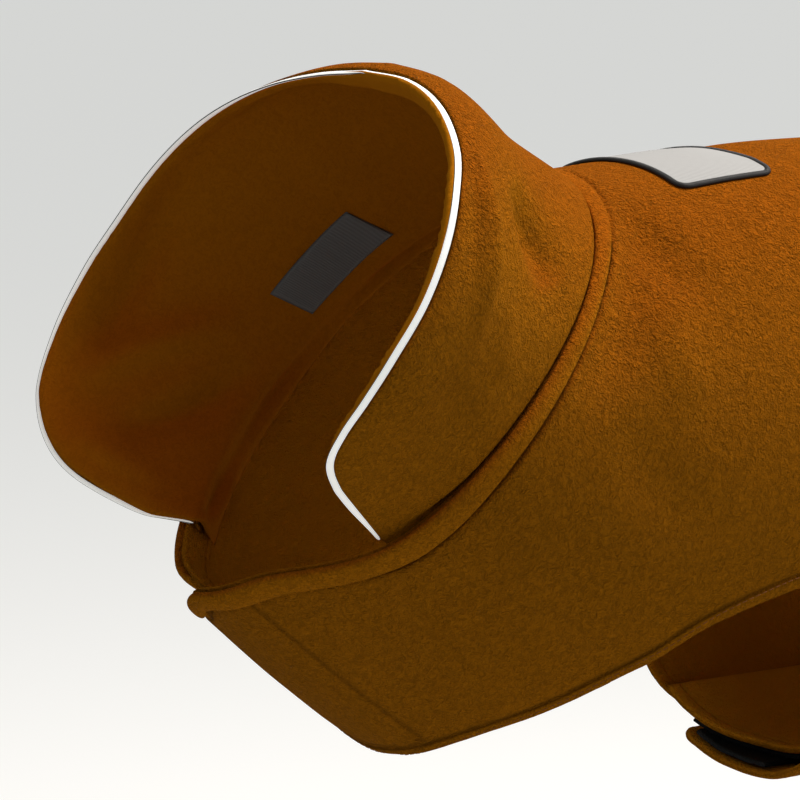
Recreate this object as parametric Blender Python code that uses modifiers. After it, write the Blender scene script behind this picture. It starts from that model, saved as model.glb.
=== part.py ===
"""A fleece coat for a large dog, worn shape, with nobody in it.

The head end looks along -X, the tail end along +X, and +Z is up, so the dog's left is -Y. The origin is on the inside
of the back, just behind the neck seam: the place where the coat lies on its wearer's withers.

The cloth follows one torso surface. A place on it is a station, counted along the rows of TORSO, and an angle in
degrees round the body, from 0 along the back to 180 under the belly, negative on the dog's left. Every panel is a grid
of such places, lifted off that surface by its own amount and given its own wall with Solidify.
"""

import math

import bpy
import numpy as np

# ---------------------------------------------------------------- driving sizes, in millimetres
GAP = 0.3  # between pieces that are sewn or pressed together
ROUND_GAP = 1.5  # the same where a piece lies inside a round one, whose flat facets cut up to 0.8 inside its curve
PANEL_WALL = 3.0  # one layer of thick fleece
COLLAR_WALL = 2.0  # each of the collar's two layers
STRAP_WALL = 4.0  # a belly strap is the fleece folded double
BAND_WALL = 2.4  # the turned neckline, rolled over the seam
CHEST_TAPE_WALL = 1.4
BELLY_TAPE_WALL = 2.4
PIPING_WALL = 1.4
PIPING_WIDTH = 4.2
LABEL_WALL = 0.6
PATCH_WALL = 1.2

CHEST_CLEAR = 2.5  # between the left chest flap and the tape inside it
CHEST_LAP = PANEL_WALL + 2 * CHEST_TAPE_WALL + 2 * GAP + CHEST_CLEAR  # between the middles of the two chest flaps
CHEST_TAPE_ANGLES, CHEST_TAPE_END = (170, 187), 1.70
CHEST_LOOP_START, CHEST_HOOK_START = 0.85, 0.40  # stations

BAND_EDGES = (-1.5, 3.5, 8.5)  # behind the neckline: the band's front edge, its middle and its rear edge
BAND_ENDS = (-188, 156)  # angles

STRAP_REAR = 6.04  # the station of the straps' rear edges
STRAP_LEFT_FRONT = 4.62  # and of the left one's front edge
STRAP_INSIDE = -(PANEL_WALL / 2 + ROUND_GAP + STRAP_WALL / 2)  # the right strap lies inside the right wing
STRAP_START = PANEL_WALL / 2 + GAP + STRAP_WALL / 2  # the left one starts outside the left wing
STRAP_OVER = STRAP_INSIDE + STRAP_WALL + 2 * BELLY_TAPE_WALL + 2 * GAP + ROUND_GAP  # and closes over the right one
STRAP_SAG = 6.0  # the lapped part hangs this much lower than the torso surface, left of the middle
STRAP_TIP_RISE = 2.0  # and the left strap's tip stands off this much more
STRAP_CORNER = 0.10  # stations by which a strap's free end narrows, within STRAP_CORNER_TURN degrees of it
STRAP_CORNER_TURN = 5.0

COLLAR_SEAT = 8.0  # how far the collar reaches down inside the neckline
COLLAR_CLEAR = 2.4  # between its outer layer and the panel round it
COLLAR_GAP = 0.7  # between its two layers
COLLAR_STEPS = 2  # columns from one row of its tables to the next
COLLAR_RINGS = 5  # from the seam up to the edge
SWELL_RISE = 2.4  # above 1, the collar swells most nearer its edge than its seam
PIPING_FACING = math.radians(38)  # how far the piping turns from facing the wearer's head to facing outward

PATCH_LENGTH, PATCH_WIDTH, PATCH_FRONT, PATCH_RADIUS = 56.0, 96.0, 22.0, 7.0
PATCH_BORDER = 3.0

# ---------------------------------------------------------------- the torso
# name, where the section meets the back (x, z) and the belly (x, z), its half width, and how flat its back is
TORSO = (
    ("neck", -20, 0, -198, -181, 101, 0.0),
    ("shoulder", 24, 3, -145, -227, 106, 0.3),
    ("breast", 56, 5, -99, -258, 109, 0.5),
    ("elbow", 88, 7, -35, -275, 112, 0.5),
    ("girth", 122, 8, 45, -283, 114, 0.5),
    ("strap", 162, 8, 125, -284, 115, 0.5),
    ("belly", 225, 8, 220, -280, 114, 0.5),
    ("loin", 320, 6, 320, -263, 109, 0.5),
    ("hip", 430, 2, 430, -245, 103, 0.5),
    ("rump", 530, -7, 532, -231, 94, 0.5),
    ("tail", 590, -17, 592, -223, 86, 0.5),
)
NECK_DIP = 0.10  # stations by which the neckline runs back on the sides of the neck
LEFT_FLAP_RISE, RIGHT_FLAP_FALL = 0.30, 0.60  # and by which it runs forward and back again on the chest flaps

# The main panel's free edge on either side, from the neckline to the tail: the station that this row has on the back,
# the station and the angle that it has at the edge, and the share of the flap's lap that it takes.
PANEL_EDGE = (
    ("tip", 0.00, 0.00, 172, 1.0),
    ("tip_round", 0.06, 0.05, 178, 1.0),
    ("flap_top", 0.20, 0.20, 180, 1.0),
    ("flap_upper", 0.45, 0.60, 180, 1.0),
    ("flap_middle", 0.70, 1.05, 179, 1.0),
    ("flap_lower", 0.95, 1.50, 178, 1.0),
    ("corner_front", 1.15, 1.78, 177, 0.9),
    ("corner", 1.30, 1.92, 174, 0.6),
    ("corner_back", 1.42, 1.98, 168, 0.3),
    ("chest_hem", 1.56, 2.00, 158, 0.0),
    ("arm_front", 1.78, 2.06, 146, 0.0),
    ("arm_low", 2.15, 2.40, 132, 0.0),
    ("arm_rise", 2.55, 2.70, 124, 0.0),
    ("arm_high", 3.00, 3.05, 116, 0.0),
    ("arm_top", 3.50, 3.60, 109, 0.0),
    ("arm_rear", 4.10, 4.05, 108, 0.0),
    ("wing_front", 4.55, 4.38, 114, 0.0),
    ("wing_upper", 4.80, 4.52, 127, 0.0),
    ("wing_lower", 4.95, 4.56, 140, 0.0),
    ("wing_corner", 5.08, 4.64, 150, 0.0),
    ("wing_end", 5.20, 4.82, 155, 0.0),
    ("wing_middle", 5.45, 5.42, 155, 0.0),
    ("wing_end_rear", 5.66, 5.86, 155, 0.0),
    ("wing_corner_rear", 5.78, 6.02, 151, 0.0),
    ("wing_lower_rear", 5.90, 6.08, 140, 0.0),
    ("wing_upper_rear", 6.04, 6.14, 124, 0.0),
    ("flank_front", 6.30, 6.36, 108, 0.0),
    ("flank", 6.75, 6.80, 101, 0.0),
    ("loin", 7.40, 7.40, 98, 0.0),
    ("hip", 8.20, 8.20, 95, 0.0),
    ("thigh", 9.00, 9.00, 90, 0.0),
    ("tail_side", 9.55, 9.50, 82, 0.0),
    ("tail_round", 9.85, 9.82, 70, 0.0),
    ("tail", 10.00, 9.96, 54, 0.0),
)
FLAP_REACH = {-1: 18.0, 1: 9.0}  # degrees past the breastbone: the left flap closes over the right
PANEL_COLUMNS = 12  # cells from the back to the edge

# ---------------------------------------------------------------- the collar
# name, angle of the neckline place that carries it, its edge (x, y, z), and how far it swells outward below the edge
COLLAR_LEFT = (
    ("back", 0, -117, 0, 52, 12),
    ("nape", 18, -119, -38, 50, 10.5),
    ("crown", 33, -124.5, -70, 41, 8.5),
    ("temple", 47, -133, -95, 25, 7),
    ("ear", 60, -145, -112, 8, 6),
    ("cheek", 72, -156, -121, -13, 7),
    ("jaw", 84, -170, -125, -37, 7),
    ("throat", 95, -186, -124, -60, 6.5),
    ("throat_low", 105, -196, -119, -77, 5),
    ("corner_top", 114, -202, -111, -91, 3),
    ("corner", 121, -203, -103, -103, 1.5),
    ("front", 128, -195, -94, -115, 0),
)
COLLAR_RIGHT = (
    ("back", 0, -117, 0, 52, 12),
    ("nape", 18, -117, 38, 48.5, 13),
    ("crown", 34, -124, 66, 42, 12),
    ("temple", 49, -134, 88, 31.5, 10),
    ("ear", 64, -145.5, 104, 17.5, 8.5),
    ("cheek", 79, -158, 117, -1.5, 8),
    ("jaw", 94, -172, 127, -26, 7.5),
    ("throat", 107, -185, 133, -48, 6.5),
    ("throat_low", 118, -201, 133, -74.5, 5),
    ("corner_top", 126, -214, 127, -102, 3),
    ("corner", 132, -215, 115, -128, 1.5),
    ("front", 137, -199, 96, -148.5, 0),
)

# ---------------------------------------------------------------- colours: name, base colour, roughness
FLEECE = ("fleece_orange", (0.62, 0.25, 0.025), 0.95)
FLEECE_INNER = ("fleece_inner", (0.50, 0.19, 0.02), 0.95)
REFLECTIVE = ("reflective_piping", (0.95, 0.95, 0.92), 0.35)
TAPE = ("closure_tape", (0.012, 0.012, 0.012), 0.90)
LABEL = ("woven_label", (0.22, 0.21, 0.21), 0.60)
PATCH = ("patch_field", (0.62, 0.62, 0.62), 0.55)
BORDER = ("patch_border", (0.010, 0.010, 0.012), 0.65)


# ---------------------------------------------------------------- curves and the torso surface
def between(rows, place):
    """The numbers of a table at a place between its rows, on a smooth (Catmull-Rom) curve through them."""
    last = len(rows) - 1
    low = min(max(math.floor(place), 0), last - 1)
    share = place - low
    before, start, end, after = (
        np.array(rows[min(max(low + step, 0), last)][1:], float) for step in (-1, 0, 1, 2)
    )
    if low == 0:
        before = 2 * start - end
    if low == last - 1:
        after = 2 * end - start
    return 0.5 * (
        2 * start
        + (end - before) * share
        + (2 * before - 5 * start + 4 * end - after) * share**2
        + (3 * start - before - 3 * end + after) * share**3
    )


def ramp(value, start, end):
    """0 up to start, 1 from end, and a smooth step between."""
    share = min(max((value - start) / (end - start), 0.0), 1.0)
    return share * share * (3 - 2 * share)


def torso(station, angle):
    """A point of the torso surface, in millimetres."""
    top_x, top_z, bottom_x, bottom_z, half_width, flat = between(TORSO, station)
    turn = math.radians(angle)
    down = (1 - math.cos(turn)) / 2
    down *= 1 - flat * (1 - down) ** 6
    return np.array(
        [
            top_x + (bottom_x - top_x) * down,
            half_width * math.sin(turn),
            top_z + (bottom_z - top_z) * down,
        ]
    )


def unit(vector):
    return vector / np.linalg.norm(vector)


def outward(station, angle):
    """The torso surface's unit normal, pointing out of the body."""
    along = torso(station + 0.01, angle) - torso(station - 0.01, angle)
    around = torso(station, angle + 0.5) - torso(station, angle - 0.5)
    return unit(np.cross(along, around))


def lifted(station, angle, lift):
    return torso(station, angle) + outward(station, angle) * lift


def neckline(angle):
    """The station of the panel's neck edge. The left chest flap reaches up under the throat, the right one falls back."""
    dip = NECK_DIP * math.sin(math.radians(angle)) ** 2
    if angle < 0:
        return dip - LEFT_FLAP_RISE * ramp(-angle, 122, 158) * (1 - ramp(-angle, 172, 192))
    return dip + RIGHT_FLAP_FALL * ramp(angle, 150, 184)


def below_neckline(distance, angle):
    """The station that lies this far behind the neckline along the cloth."""
    step = np.linalg.norm(torso(0.1, angle) - torso(0, angle))
    return neckline(angle) + 0.1 * distance / step


# ---------------------------------------------------------------- building blocks
def material(name, colour, roughness):
    made = bpy.data.materials.get(name) or bpy.data.materials.new(name)
    made.use_nodes = True
    shader = made.node_tree.nodes["Principled BSDF"]
    shader.inputs["Base Color"].default_value = (*colour, 1)
    shader.inputs["Roughness"].default_value = roughness
    shader.inputs["Metallic"].default_value = 0
    return made


def cloth(name, rows, wall, look):
    """A wall of cloth round a grid of points in millimetres: rows of equal length, edge to edge."""
    across = len(rows[0])
    points = [tuple(point / 1000) for row in rows for point in row]
    faces = [
        (i * across + j, i * across + j + 1, (i + 1) * across + j + 1, (i + 1) * across + j)
        for i in range(len(rows) - 1)
        for j in range(across - 1)
    ]
    mesh = bpy.data.meshes.new(name)
    mesh.from_pydata(points, [], faces)
    mesh.materials.append(material(*look))
    mesh.shade_smooth()
    piece = bpy.data.objects.new(name, mesh)
    PARTS.objects.link(piece)
    shell = piece.modifiers.new("wall", "SOLIDIFY")
    shell.thickness = wall / 1000
    shell.offset = 0
    return piece


def spread(start, end, cells):
    return [start + (end - start) * i / cells for i in range(cells + 1)]


# ---------------------------------------------------------------- the main panel
def chest_lift(station, angle):
    """The left flap (negative angles) rises off the torso surface and the right one sinks below it."""
    return math.copysign(CHEST_LAP / 2, -angle) * ramp(abs(angle), 148, 170) * (1 - ramp(station, 2.2, 3.2))


def main_panel():
    rows = []
    for _, top_station, edge_station, edge_angle, flap in PANEL_EDGE:
        row = []
        for share in spread(-1, 1, 2 * PANEL_COLUMNS):
            side = -1 if share < 0 else 1
            angle = share * (edge_angle + flap * FLAP_REACH[side])
            station = top_station + (edge_station - top_station) * abs(share) ** 1.5
            station += neckline(angle) * (1 - ramp(top_station, 0, 0.8))
            row.append(lifted(station, angle, chest_lift(station, angle)))
        rows.append(row)
    cloth("main_panel", rows, PANEL_WALL, FLEECE)


def neck_band():
    """The turned neckline: a flat roll on the outside of the seam, from the left flap's tip round to the right flap."""
    lift = PANEL_WALL / 2 + 2 * GAP + BAND_WALL / 2
    rows = [
        [
            lifted(below_neckline(distance, angle), angle, lift + chest_lift(0, angle))
            for angle in spread(*BAND_ENDS, 43)
        ]
        for distance in BAND_EDGES
    ]
    cloth("neck_band", rows, BAND_WALL, FLEECE)


def chest_tape(name, start, lift):
    rows = [
        [lifted(station, angle, lift) for angle in spread(*CHEST_TAPE_ANGLES, 5)]
        for station in spread(start, CHEST_TAPE_END, 5)
    ]
    cloth(name, rows, CHEST_TAPE_WALL, TAPE)


# ---------------------------------------------------------------- the belly straps
def sag(angle):
    """How low the straps hang here. The angle goes on past 180 up the dog's left."""
    return STRAP_SAG * ramp(angle, 176, 204) * (1 - ramp(angle, 208, 224))


def strap_front(angle):
    """The station of the right strap's front edge, which runs back a little as it crosses the belly."""
    return 4.58 + 0.21 * ramp(angle, 145, 190)


def strap(name, angles, front_of, lift_of):
    """A strap across the belly, with rounded corners at its free end. Its angles go on past 180 up the dog's left."""
    rows = []
    for angle in angles:
        into_corner = max(0.0, 1 - abs(angle - angles[-1]) / STRAP_CORNER_TURN)
        narrow = STRAP_CORNER * (1 - math.sqrt(1 - into_corner**2))
        across = spread(front_of(angle) + narrow, STRAP_REAR - narrow, 6)
        rows.append([lifted(station, angle, lift_of(angle)) for station in across])
    cloth(name, rows, STRAP_WALL, FLEECE)


def belly_strap_right():
    angles = spread(149, 197, 12) + [199.5, 201, 202]
    strap("belly_strap_right", angles, strap_front, lambda angle: STRAP_INSIDE + sag(angle))


def belly_strap_left():
    """It starts on the outside of the left wing, closes over the right strap and stands off a little at its tip."""

    def lift_of(angle):
        over = (STRAP_OVER - STRAP_START) * (1 - ramp(angle, 190, 206))
        return STRAP_START + over + sag(angle) + STRAP_TIP_RISE * (1 - ramp(angle, 156, 167))

    angles = spread(225, 163, 17) + [160.5, 159, 158]
    strap("belly_strap_left", angles, lambda angle: STRAP_LEFT_FRONT, lift_of)


def belly_tape(name, angles, front_of, lift):
    """A tape across the straps, just short of their front and rear edges."""
    rows = []
    for angle in angles:
        across = spread(front_of(angle) + 0.03, STRAP_REAR - 0.10, 6)
        rows.append([lifted(station, angle, lift + sag(angle)) for station in across])
    cloth(name, rows, BELLY_TAPE_WALL, TAPE)


# ---------------------------------------------------------------- the collar
COLLAR_END = len(COLLAR_LEFT) - 1
COLLAR_PLACES = spread(-COLLAR_END, COLLAR_END, 2 * COLLAR_STEPS * COLLAR_END)


def collar_middle(place, height):
    """A point between the collar's two layers.

    The place runs from -COLLAR_END at the left front edge through 0 at the back, and the height from -1 at the lower
    edge, inside the neckline, through 0 at the neckline to 1 at the top.
    """
    angle, x, y, z, swell = between(COLLAR_LEFT if place < 0 else COLLAR_RIGHT, abs(place))
    angle = math.copysign(angle, place)
    lift = -(PANEL_WALL / 2 + COLLAR_CLEAR + COLLAR_WALL + COLLAR_GAP / 2)
    if height < 0:
        return lifted(below_neckline(-height * COLLAR_SEAT, angle), angle, lift)
    seam = lifted(neckline(angle), angle, lift)
    bulge = outward(0, angle) * swell * math.sin(math.pi * min(height, 1) ** SWELL_RISE)
    return seam + (np.array([x, y, z]) - seam) * height + bulge


def collar_out(place, height):
    """The unit normal of the collar, pointing away from the neck."""
    up = collar_middle(place, height + 0.01) - collar_middle(place, height - 0.01)
    aside = collar_middle(place + 0.05, height) - collar_middle(place - 0.05, height)
    return unit(np.cross(aside, up))


def collar_point(place, height, lift):
    return collar_middle(place, height) + collar_out(place, height) * lift


def collar_layer(name, lift, look):
    rows = [
        [collar_point(place, height, lift) for place in COLLAR_PLACES]
        for height in [-1.0] + spread(0, 1, COLLAR_RINGS)
    ]
    cloth(name, rows, COLLAR_WALL, look)


def collar_piping():
    """A flat reflective cord round the collar's free edge. It faces away from the edge and a little outward."""
    stand_off = (COLLAR_WALL + COLLAR_GAP / 2) * math.sin(PIPING_FACING) + 2 * GAP + PIPING_WALL / 2
    rise = spread(0.18, 0.95, 4)
    path = [(-COLLAR_END, height) for height in rise]
    path += [(place, 1.0) for place in COLLAR_PLACES]
    path += [(COLLAR_END, height) for height in reversed(rise)]
    line = [collar_middle(place, height) for place, height in path]
    rows = []
    for i, (place, height) in enumerate(path):
        out = collar_out(place, min(height, 0.98))
        away = unit(np.cross(out, line[min(i + 1, len(line) - 1)] - line[max(i - 1, 0)]))
        face = away * math.cos(PIPING_FACING) + out * math.sin(PIPING_FACING)
        width = out * math.cos(PIPING_FACING) - away * math.sin(PIPING_FACING)
        rows.append([line[i] + face * stand_off + width * PIPING_WIDTH * share for share in (-0.5, 0, 0.5)])
    cloth("collar_piping", rows, PIPING_WALL, REFLECTIVE)


def size_label():
    """The woven label on the collar's lining, on the right, just above the neck seam."""
    lift = -(COLLAR_GAP / 2 + COLLAR_WALL + ROUND_GAP / 2 + LABEL_WALL / 2)
    rows = [
        [collar_point(place, height, lift) for place in spread(2.98, 4.66, 6)]
        for height in spread(0.08, 0.28, 2)
    ]
    cloth("size_label", rows, LABEL_WALL, LABEL)


# ---------------------------------------------------------------- the back patch
def on_back(x, y, lift):
    """The point of the back above (x, y), lifted off the torso surface."""
    station, angle = 1.0, 0.0
    for _ in range(12):
        here = torso(station, angle)
        along = (torso(station + 0.01, angle) - here)[0] / 0.01
        around = (torso(station, angle + 0.1) - here)[1] / 0.1
        station += (x - here[0]) / along
        angle += (y - here[1]) / around
    return lifted(station, angle, lift)


def patch_half_width(x, inset):
    """Half the patch's width at x, with its rounded corners, this far inside its outline."""
    length, width = PATCH_LENGTH - 2 * inset, PATCH_WIDTH - 2 * inset
    radius = max(PATCH_RADIUS - inset, 0.5)
    from_end = length / 2 - abs(x - PATCH_FRONT - PATCH_LENGTH / 2)
    into_corner = max(radius - from_end, 0)
    return width / 2 - radius + math.sqrt(max(radius**2 - into_corner**2, 0))


def patch_columns(inset):
    """Places along the patch, close together in its corners."""
    front, rear = PATCH_FRONT + inset, PATCH_FRONT + PATCH_LENGTH - inset
    near = [0.0, 1.0, 2.5, 5.0]
    middle = spread(front + 12, rear - 12, 3)
    return [front + step for step in near] + middle + [rear - step for step in reversed(near)]


def back_patch():
    lift = PANEL_WALL / 2 + GAP + PATCH_WALL / 2
    inset = PATCH_BORDER + GAP
    rows = [
        [on_back(x, patch_half_width(x, inset) * share, lift) for share in spread(-1, 1, 10)]
        for x in patch_columns(inset)
    ]
    cloth("back_patch", rows, PATCH_WALL, PATCH)


def patch_border():
    """The patch's bound edge: a closed ring round its field."""
    lift = PANEL_WALL / 2 + GAP + PATCH_WALL / 2

    def outline(inset):
        sides = [[(x, patch_half_width(x, inset) * side) for x in patch_columns(inset)] for side in (-1, 1)]
        end_width = patch_half_width(PATCH_FRONT + inset, inset)
        across = [end_width * share for share in spread(-1, 1, 8)[1:-1]]
        front = [(PATCH_FRONT + inset, -y) for y in across]
        rear = [(PATCH_FRONT + PATCH_LENGTH - inset, y) for y in across]
        ring = sides[0] + rear + sides[1][::-1] + front
        return ring + ring[:1]

    rows = [[on_back(x, y, lift) for x, y in outline(inset)] for inset in (0, PATCH_BORDER)]
    ring = cloth("patch_border", rows, PATCH_WALL, BORDER)
    weld = ring.modifiers.new("close the ring", "WELD")
    weld.merge_threshold = 0.00001
    ring.modifiers.move(len(ring.modifiers) - 1, 0)


# ---------------------------------------------------------------- the coat
for old in list(bpy.data.objects):
    bpy.data.objects.remove(old)
PARTS = bpy.data.collections.new("dog_coat")
bpy.context.scene.collection.children.link(PARTS)

main_panel()
neck_band()
chest_tape("chest_loop_tape", CHEST_LOOP_START, -CHEST_LAP / 2 + PANEL_WALL / 2 + GAP + CHEST_TAPE_WALL / 2)
chest_tape("chest_hook_tape", CHEST_HOOK_START, CHEST_LAP / 2 - PANEL_WALL / 2 - CHEST_CLEAR - CHEST_TAPE_WALL / 2)
belly_strap_left()
belly_strap_right()
loop_lift = STRAP_INSIDE + STRAP_WALL / 2 + GAP + BELLY_TAPE_WALL / 2
belly_tape("belly_loop_tape", spread(157, 197, 10), strap_front, loop_lift)
hook_lift = STRAP_OVER - STRAP_WALL / 2 - ROUND_GAP - BELLY_TAPE_WALL / 2
belly_tape("belly_hook_tape", spread(163, 190, 7), lambda angle: STRAP_LEFT_FRONT, hook_lift)
collar_layer("collar_outer", COLLAR_GAP / 2 + COLLAR_WALL / 2, FLEECE)
collar_layer("collar_inner", -(COLLAR_GAP / 2 + COLLAR_WALL / 2), FLEECE_INNER)
collar_piping()
size_label()
back_patch()
patch_border()
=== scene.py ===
# %% [markdown]
# # A fleece coat for a large dog
#
# The coat is a single fleece panel that wraps the back and chest, a stand collar, two straps that close under
# the belly, and hook-and-loop tapes. It is shown in its worn shape, with nobody in it. This notebook dresses
# the plain solids of the part: each piece of cloth is modelled again with its thickness, hems and creases,
# and gets its finish.
#
# The first cell loads the solids. They are the fixed frame that every piece is placed on, in metres.

import math

import bmesh
import bpy
import numpy as np
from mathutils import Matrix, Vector, kdtree


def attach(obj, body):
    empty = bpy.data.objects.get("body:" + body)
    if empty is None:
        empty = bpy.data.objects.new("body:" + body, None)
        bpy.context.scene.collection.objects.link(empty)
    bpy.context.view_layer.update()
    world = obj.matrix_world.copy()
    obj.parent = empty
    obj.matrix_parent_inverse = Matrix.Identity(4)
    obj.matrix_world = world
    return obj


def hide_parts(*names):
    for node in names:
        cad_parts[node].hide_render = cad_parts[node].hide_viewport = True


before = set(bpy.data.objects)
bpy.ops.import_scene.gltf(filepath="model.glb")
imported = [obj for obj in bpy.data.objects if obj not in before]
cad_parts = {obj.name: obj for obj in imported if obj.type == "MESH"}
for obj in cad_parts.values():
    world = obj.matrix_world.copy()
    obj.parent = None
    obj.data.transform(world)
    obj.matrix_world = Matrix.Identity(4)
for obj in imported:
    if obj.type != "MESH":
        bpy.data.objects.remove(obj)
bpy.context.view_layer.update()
print("solids:", ", ".join(sorted(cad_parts)))

# %% [markdown]
# ## Camera, light and floor
#
# The coat hangs in the air as if a dog wore it, so its floor lies where the dog's paws would be. A long lens
# far away keeps the collar from looking bigger than the body. A wide soft lamp overhead makes the backs of
# the folds bright and leaves their undersides dark, which is what shows the softness of fleece; a faint one
# in front opens up the shadows. A floor can be painted pale, but this one also shines a little for the camera
# alone, so that it looks the same all over and throws no colour on the cloth.

# %% Camera
TARGET = Vector((-0.0996, 0.0, -0.0975))
CAMERA_AWAY, CAMERA_TURN, CAMERA_RISE = 2.4, math.radians(-34), math.radians(8)
SENSOR_WIDTH = 36.0  # mm
VIEW_WIDTH = 4 / 11  # metres that the camera takes in across the target

towards_camera = Vector(
    (
        math.sin(CAMERA_TURN) * math.cos(CAMERA_RISE),
        -math.cos(CAMERA_TURN) * math.cos(CAMERA_RISE),
        math.sin(CAMERA_RISE),
    )
)
bpy.ops.object.camera_add(location=TARGET + towards_camera * CAMERA_AWAY)
camera = bpy.context.object
camera.name = "camera"
camera.rotation_euler = towards_camera.to_track_quat("Z", "Y").to_euler()
camera.data.sensor_width = SENSOR_WIDTH
camera.data.lens = SENSOR_WIDTH * CAMERA_AWAY / VIEW_WIDTH
camera.data.clip_end = 100
bpy.context.scene.camera = camera
print("lens, mm:", round(camera.data.lens, 1))


# %% Lamps and world
COAT_MIDDLE = Vector((0.1, 0, -0.12))


def soft_lamp(name, place, size, power, colour):
    """A square area lamp that points at the coat's middle."""
    bpy.ops.object.light_add(type="AREA", location=place)
    lamp = bpy.context.object
    lamp.name = name
    lamp.rotation_euler = (Vector(place) - COAT_MIDDLE).to_track_quat("Z", "Y").to_euler()
    lamp.data.size = size
    lamp.data.energy = power
    lamp.data.color = colour


soft_lamp("lamp_above", (1.1, -0.2, 1.7), 1.0, 83, (1.0, 0.94, 0.88))
soft_lamp("lamp_front", (-0.1, -2.5, -0.8), 1.5, 12, (0.95, 1.0, 0.95))

bpy.context.scene.view_settings.view_transform = "Standard"
world = bpy.data.worlds.new("studio")
bpy.context.scene.world = world
world.use_nodes = True
world.node_tree.nodes["Background"].inputs["Color"].default_value = (0.95, 1.0, 0.95, 1)
world.node_tree.nodes["Background"].inputs["Strength"].default_value = 0.29

# %% Floor
FLOOR_Z = -0.62

bpy.ops.mesh.primitive_plane_add(size=60, location=(0, 0, FLOOR_Z))
floor = bpy.context.object
floor.name = "floor"
floor_paint = bpy.data.materials.new("floor_paint")
floor_paint.use_nodes = True
nodes, links = floor_paint.node_tree.nodes, floor_paint.node_tree.links
shader = nodes["Principled BSDF"]
shader.inputs["Base Color"].default_value = (0.50, 0.495, 0.49, 1)
shader.inputs["Roughness"].default_value = 0.9
shader.inputs["Emission Color"].default_value = (0.86, 0.86, 0.85, 1)
seen = nodes.new("ShaderNodeLightPath")
only_seen = nodes.new("ShaderNodeMath")
only_seen.operation = "MULTIPLY"
only_seen.inputs[1].default_value = 0.6  # its share of full white
links.new(seen.outputs["Is Camera Ray"], only_seen.inputs[0])
links.new(only_seen.outputs[0], shader.inputs["Emission Strength"])
floor.data.materials.append(floor_paint)
print("floor at z =", FLOOR_Z)

# %% [markdown]
# ## The shape that everything follows
#
# All the cloth follows one torso. A place on it is a station along its length and an angle round it, from 0
# on the back to 180 under the belly, negative on the dog's left. A few measured sections are enough: a smooth
# curve through them gives every place in between. Working with whole arrays of places at once keeps this
# quick.

# %% Curves through tables
def between(table, place):
    """The numbers of a table at places between its rows, on a smooth curve through them."""
    rows = np.array([row[1:] for row in table], float)
    place = np.asarray(place, float)
    last = len(rows) - 1
    low = np.clip(np.floor(place), 0, last - 1).astype(int)
    share = (place - low)[..., None]
    rows = np.vstack([2 * rows[0] - rows[1], rows, 2 * rows[-1] - rows[-2]])
    before, start, end, after = (rows[low + step] for step in range(4))
    return 0.5 * (
        2 * start
        + (end - before) * share
        + (2 * before - 5 * start + 4 * end - after) * share**2
        + (3 * start - before - 3 * end + after) * share**3
    )


def ramp(value, start, end):
    """0 up to start, 1 from end, and a smooth step between."""
    share = np.clip((np.asarray(value, float) - start) / (end - start), 0, 1)
    return share * share * (3 - 2 * share)


def hump(value, middle, width):
    """1 at the middle, and a smooth fall to 0 on both sides."""
    return np.exp(-(((value - middle) / width) ** 2))


def unit(vectors):
    """The same vectors, each 1 long."""
    return vectors / np.maximum(np.linalg.norm(vectors, axis=-1, keepdims=True), 1e-9)


print("half way up a step:", float(ramp(0.5, 0, 1)))

# %% The torso, in millimetres
TORSO = (
    # name, back (x, z), belly (x, z), half width, how flat the back is
    ("neck", -20, 0, -198, -181, 101, 0.0),
    ("shoulder", 24, 3, -145, -227, 106, 0.3),
    ("breast", 56, 5, -99, -258, 109, 0.5),
    ("elbow", 88, 7, -35, -275, 112, 0.5),
    ("girth", 122, 8, 45, -283, 114, 0.5),
    ("strap", 162, 8, 125, -284, 115, 0.5),
    ("belly", 225, 8, 220, -280, 114, 0.5),
    ("loin", 320, 6, 320, -263, 109, 0.5),
    ("hip", 430, 2, 430, -245, 103, 0.5),
    ("rump", 530, -7, 532, -231, 94, 0.5),
    ("tail", 590, -17, 592, -223, 86, 0.5),
)


def torso(station, angle):
    """The point of the torso at a place."""
    station, turn = np.broadcast_arrays(np.asarray(station, float), np.radians(angle))
    top_x, top_z, bottom_x, bottom_z, half_width, flat = np.moveaxis(between(TORSO, station), -1, 0)
    down = (1 - np.cos(turn)) / 2
    down = down * (1 - flat * (1 - down) ** 6)
    x = top_x + (bottom_x - top_x) * down
    return np.stack([x, half_width * np.sin(turn), top_z + (bottom_z - top_z) * down], axis=-1)


def outward(station, angle):
    """The unit normal of the torso at a place."""
    station, angle = np.asarray(station, float), np.asarray(angle, float)
    along = torso(station + 0.01, angle) - torso(station - 0.01, angle)
    around = torso(station, angle + 0.5) - torso(station, angle - 0.5)
    return unit(np.cross(along, around))


def lifted(station, angle, lift):
    """A point this far off the torso."""
    return torso(station, angle) + outward(station, angle) * np.asarray(lift, float)[..., None]


ring_steps = np.diff(torso(4.0, np.arange(-180, 181, 3.0)), axis=0)
print("girth behind the elbow, mm:", round(float(np.linalg.norm(ring_steps, axis=1).sum())))

# %% Where the neckline and the chest flaps run
NECK_DIP = 0.10  # stations by which the neckline runs back on the sides of the neck
LEFT_FLAP_RISE, RIGHT_FLAP_FALL = 0.30, 0.60  # and by which it runs forward and back again on the chest flaps
CHEST_LAP = 8.9  # between the middles of the two chest flaps, with the tapes between them


def neckline(angle):
    """The station of the neck seam at an angle."""
    angle = np.asarray(angle, float)
    dip = NECK_DIP * np.sin(np.radians(angle)) ** 2
    left = LEFT_FLAP_RISE * ramp(-angle, 122, 158) * (1 - ramp(-angle, 172, 192))
    right = RIGHT_FLAP_FALL * ramp(angle, 150, 184)
    return dip + np.where(angle < 0, -left, right)


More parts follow.
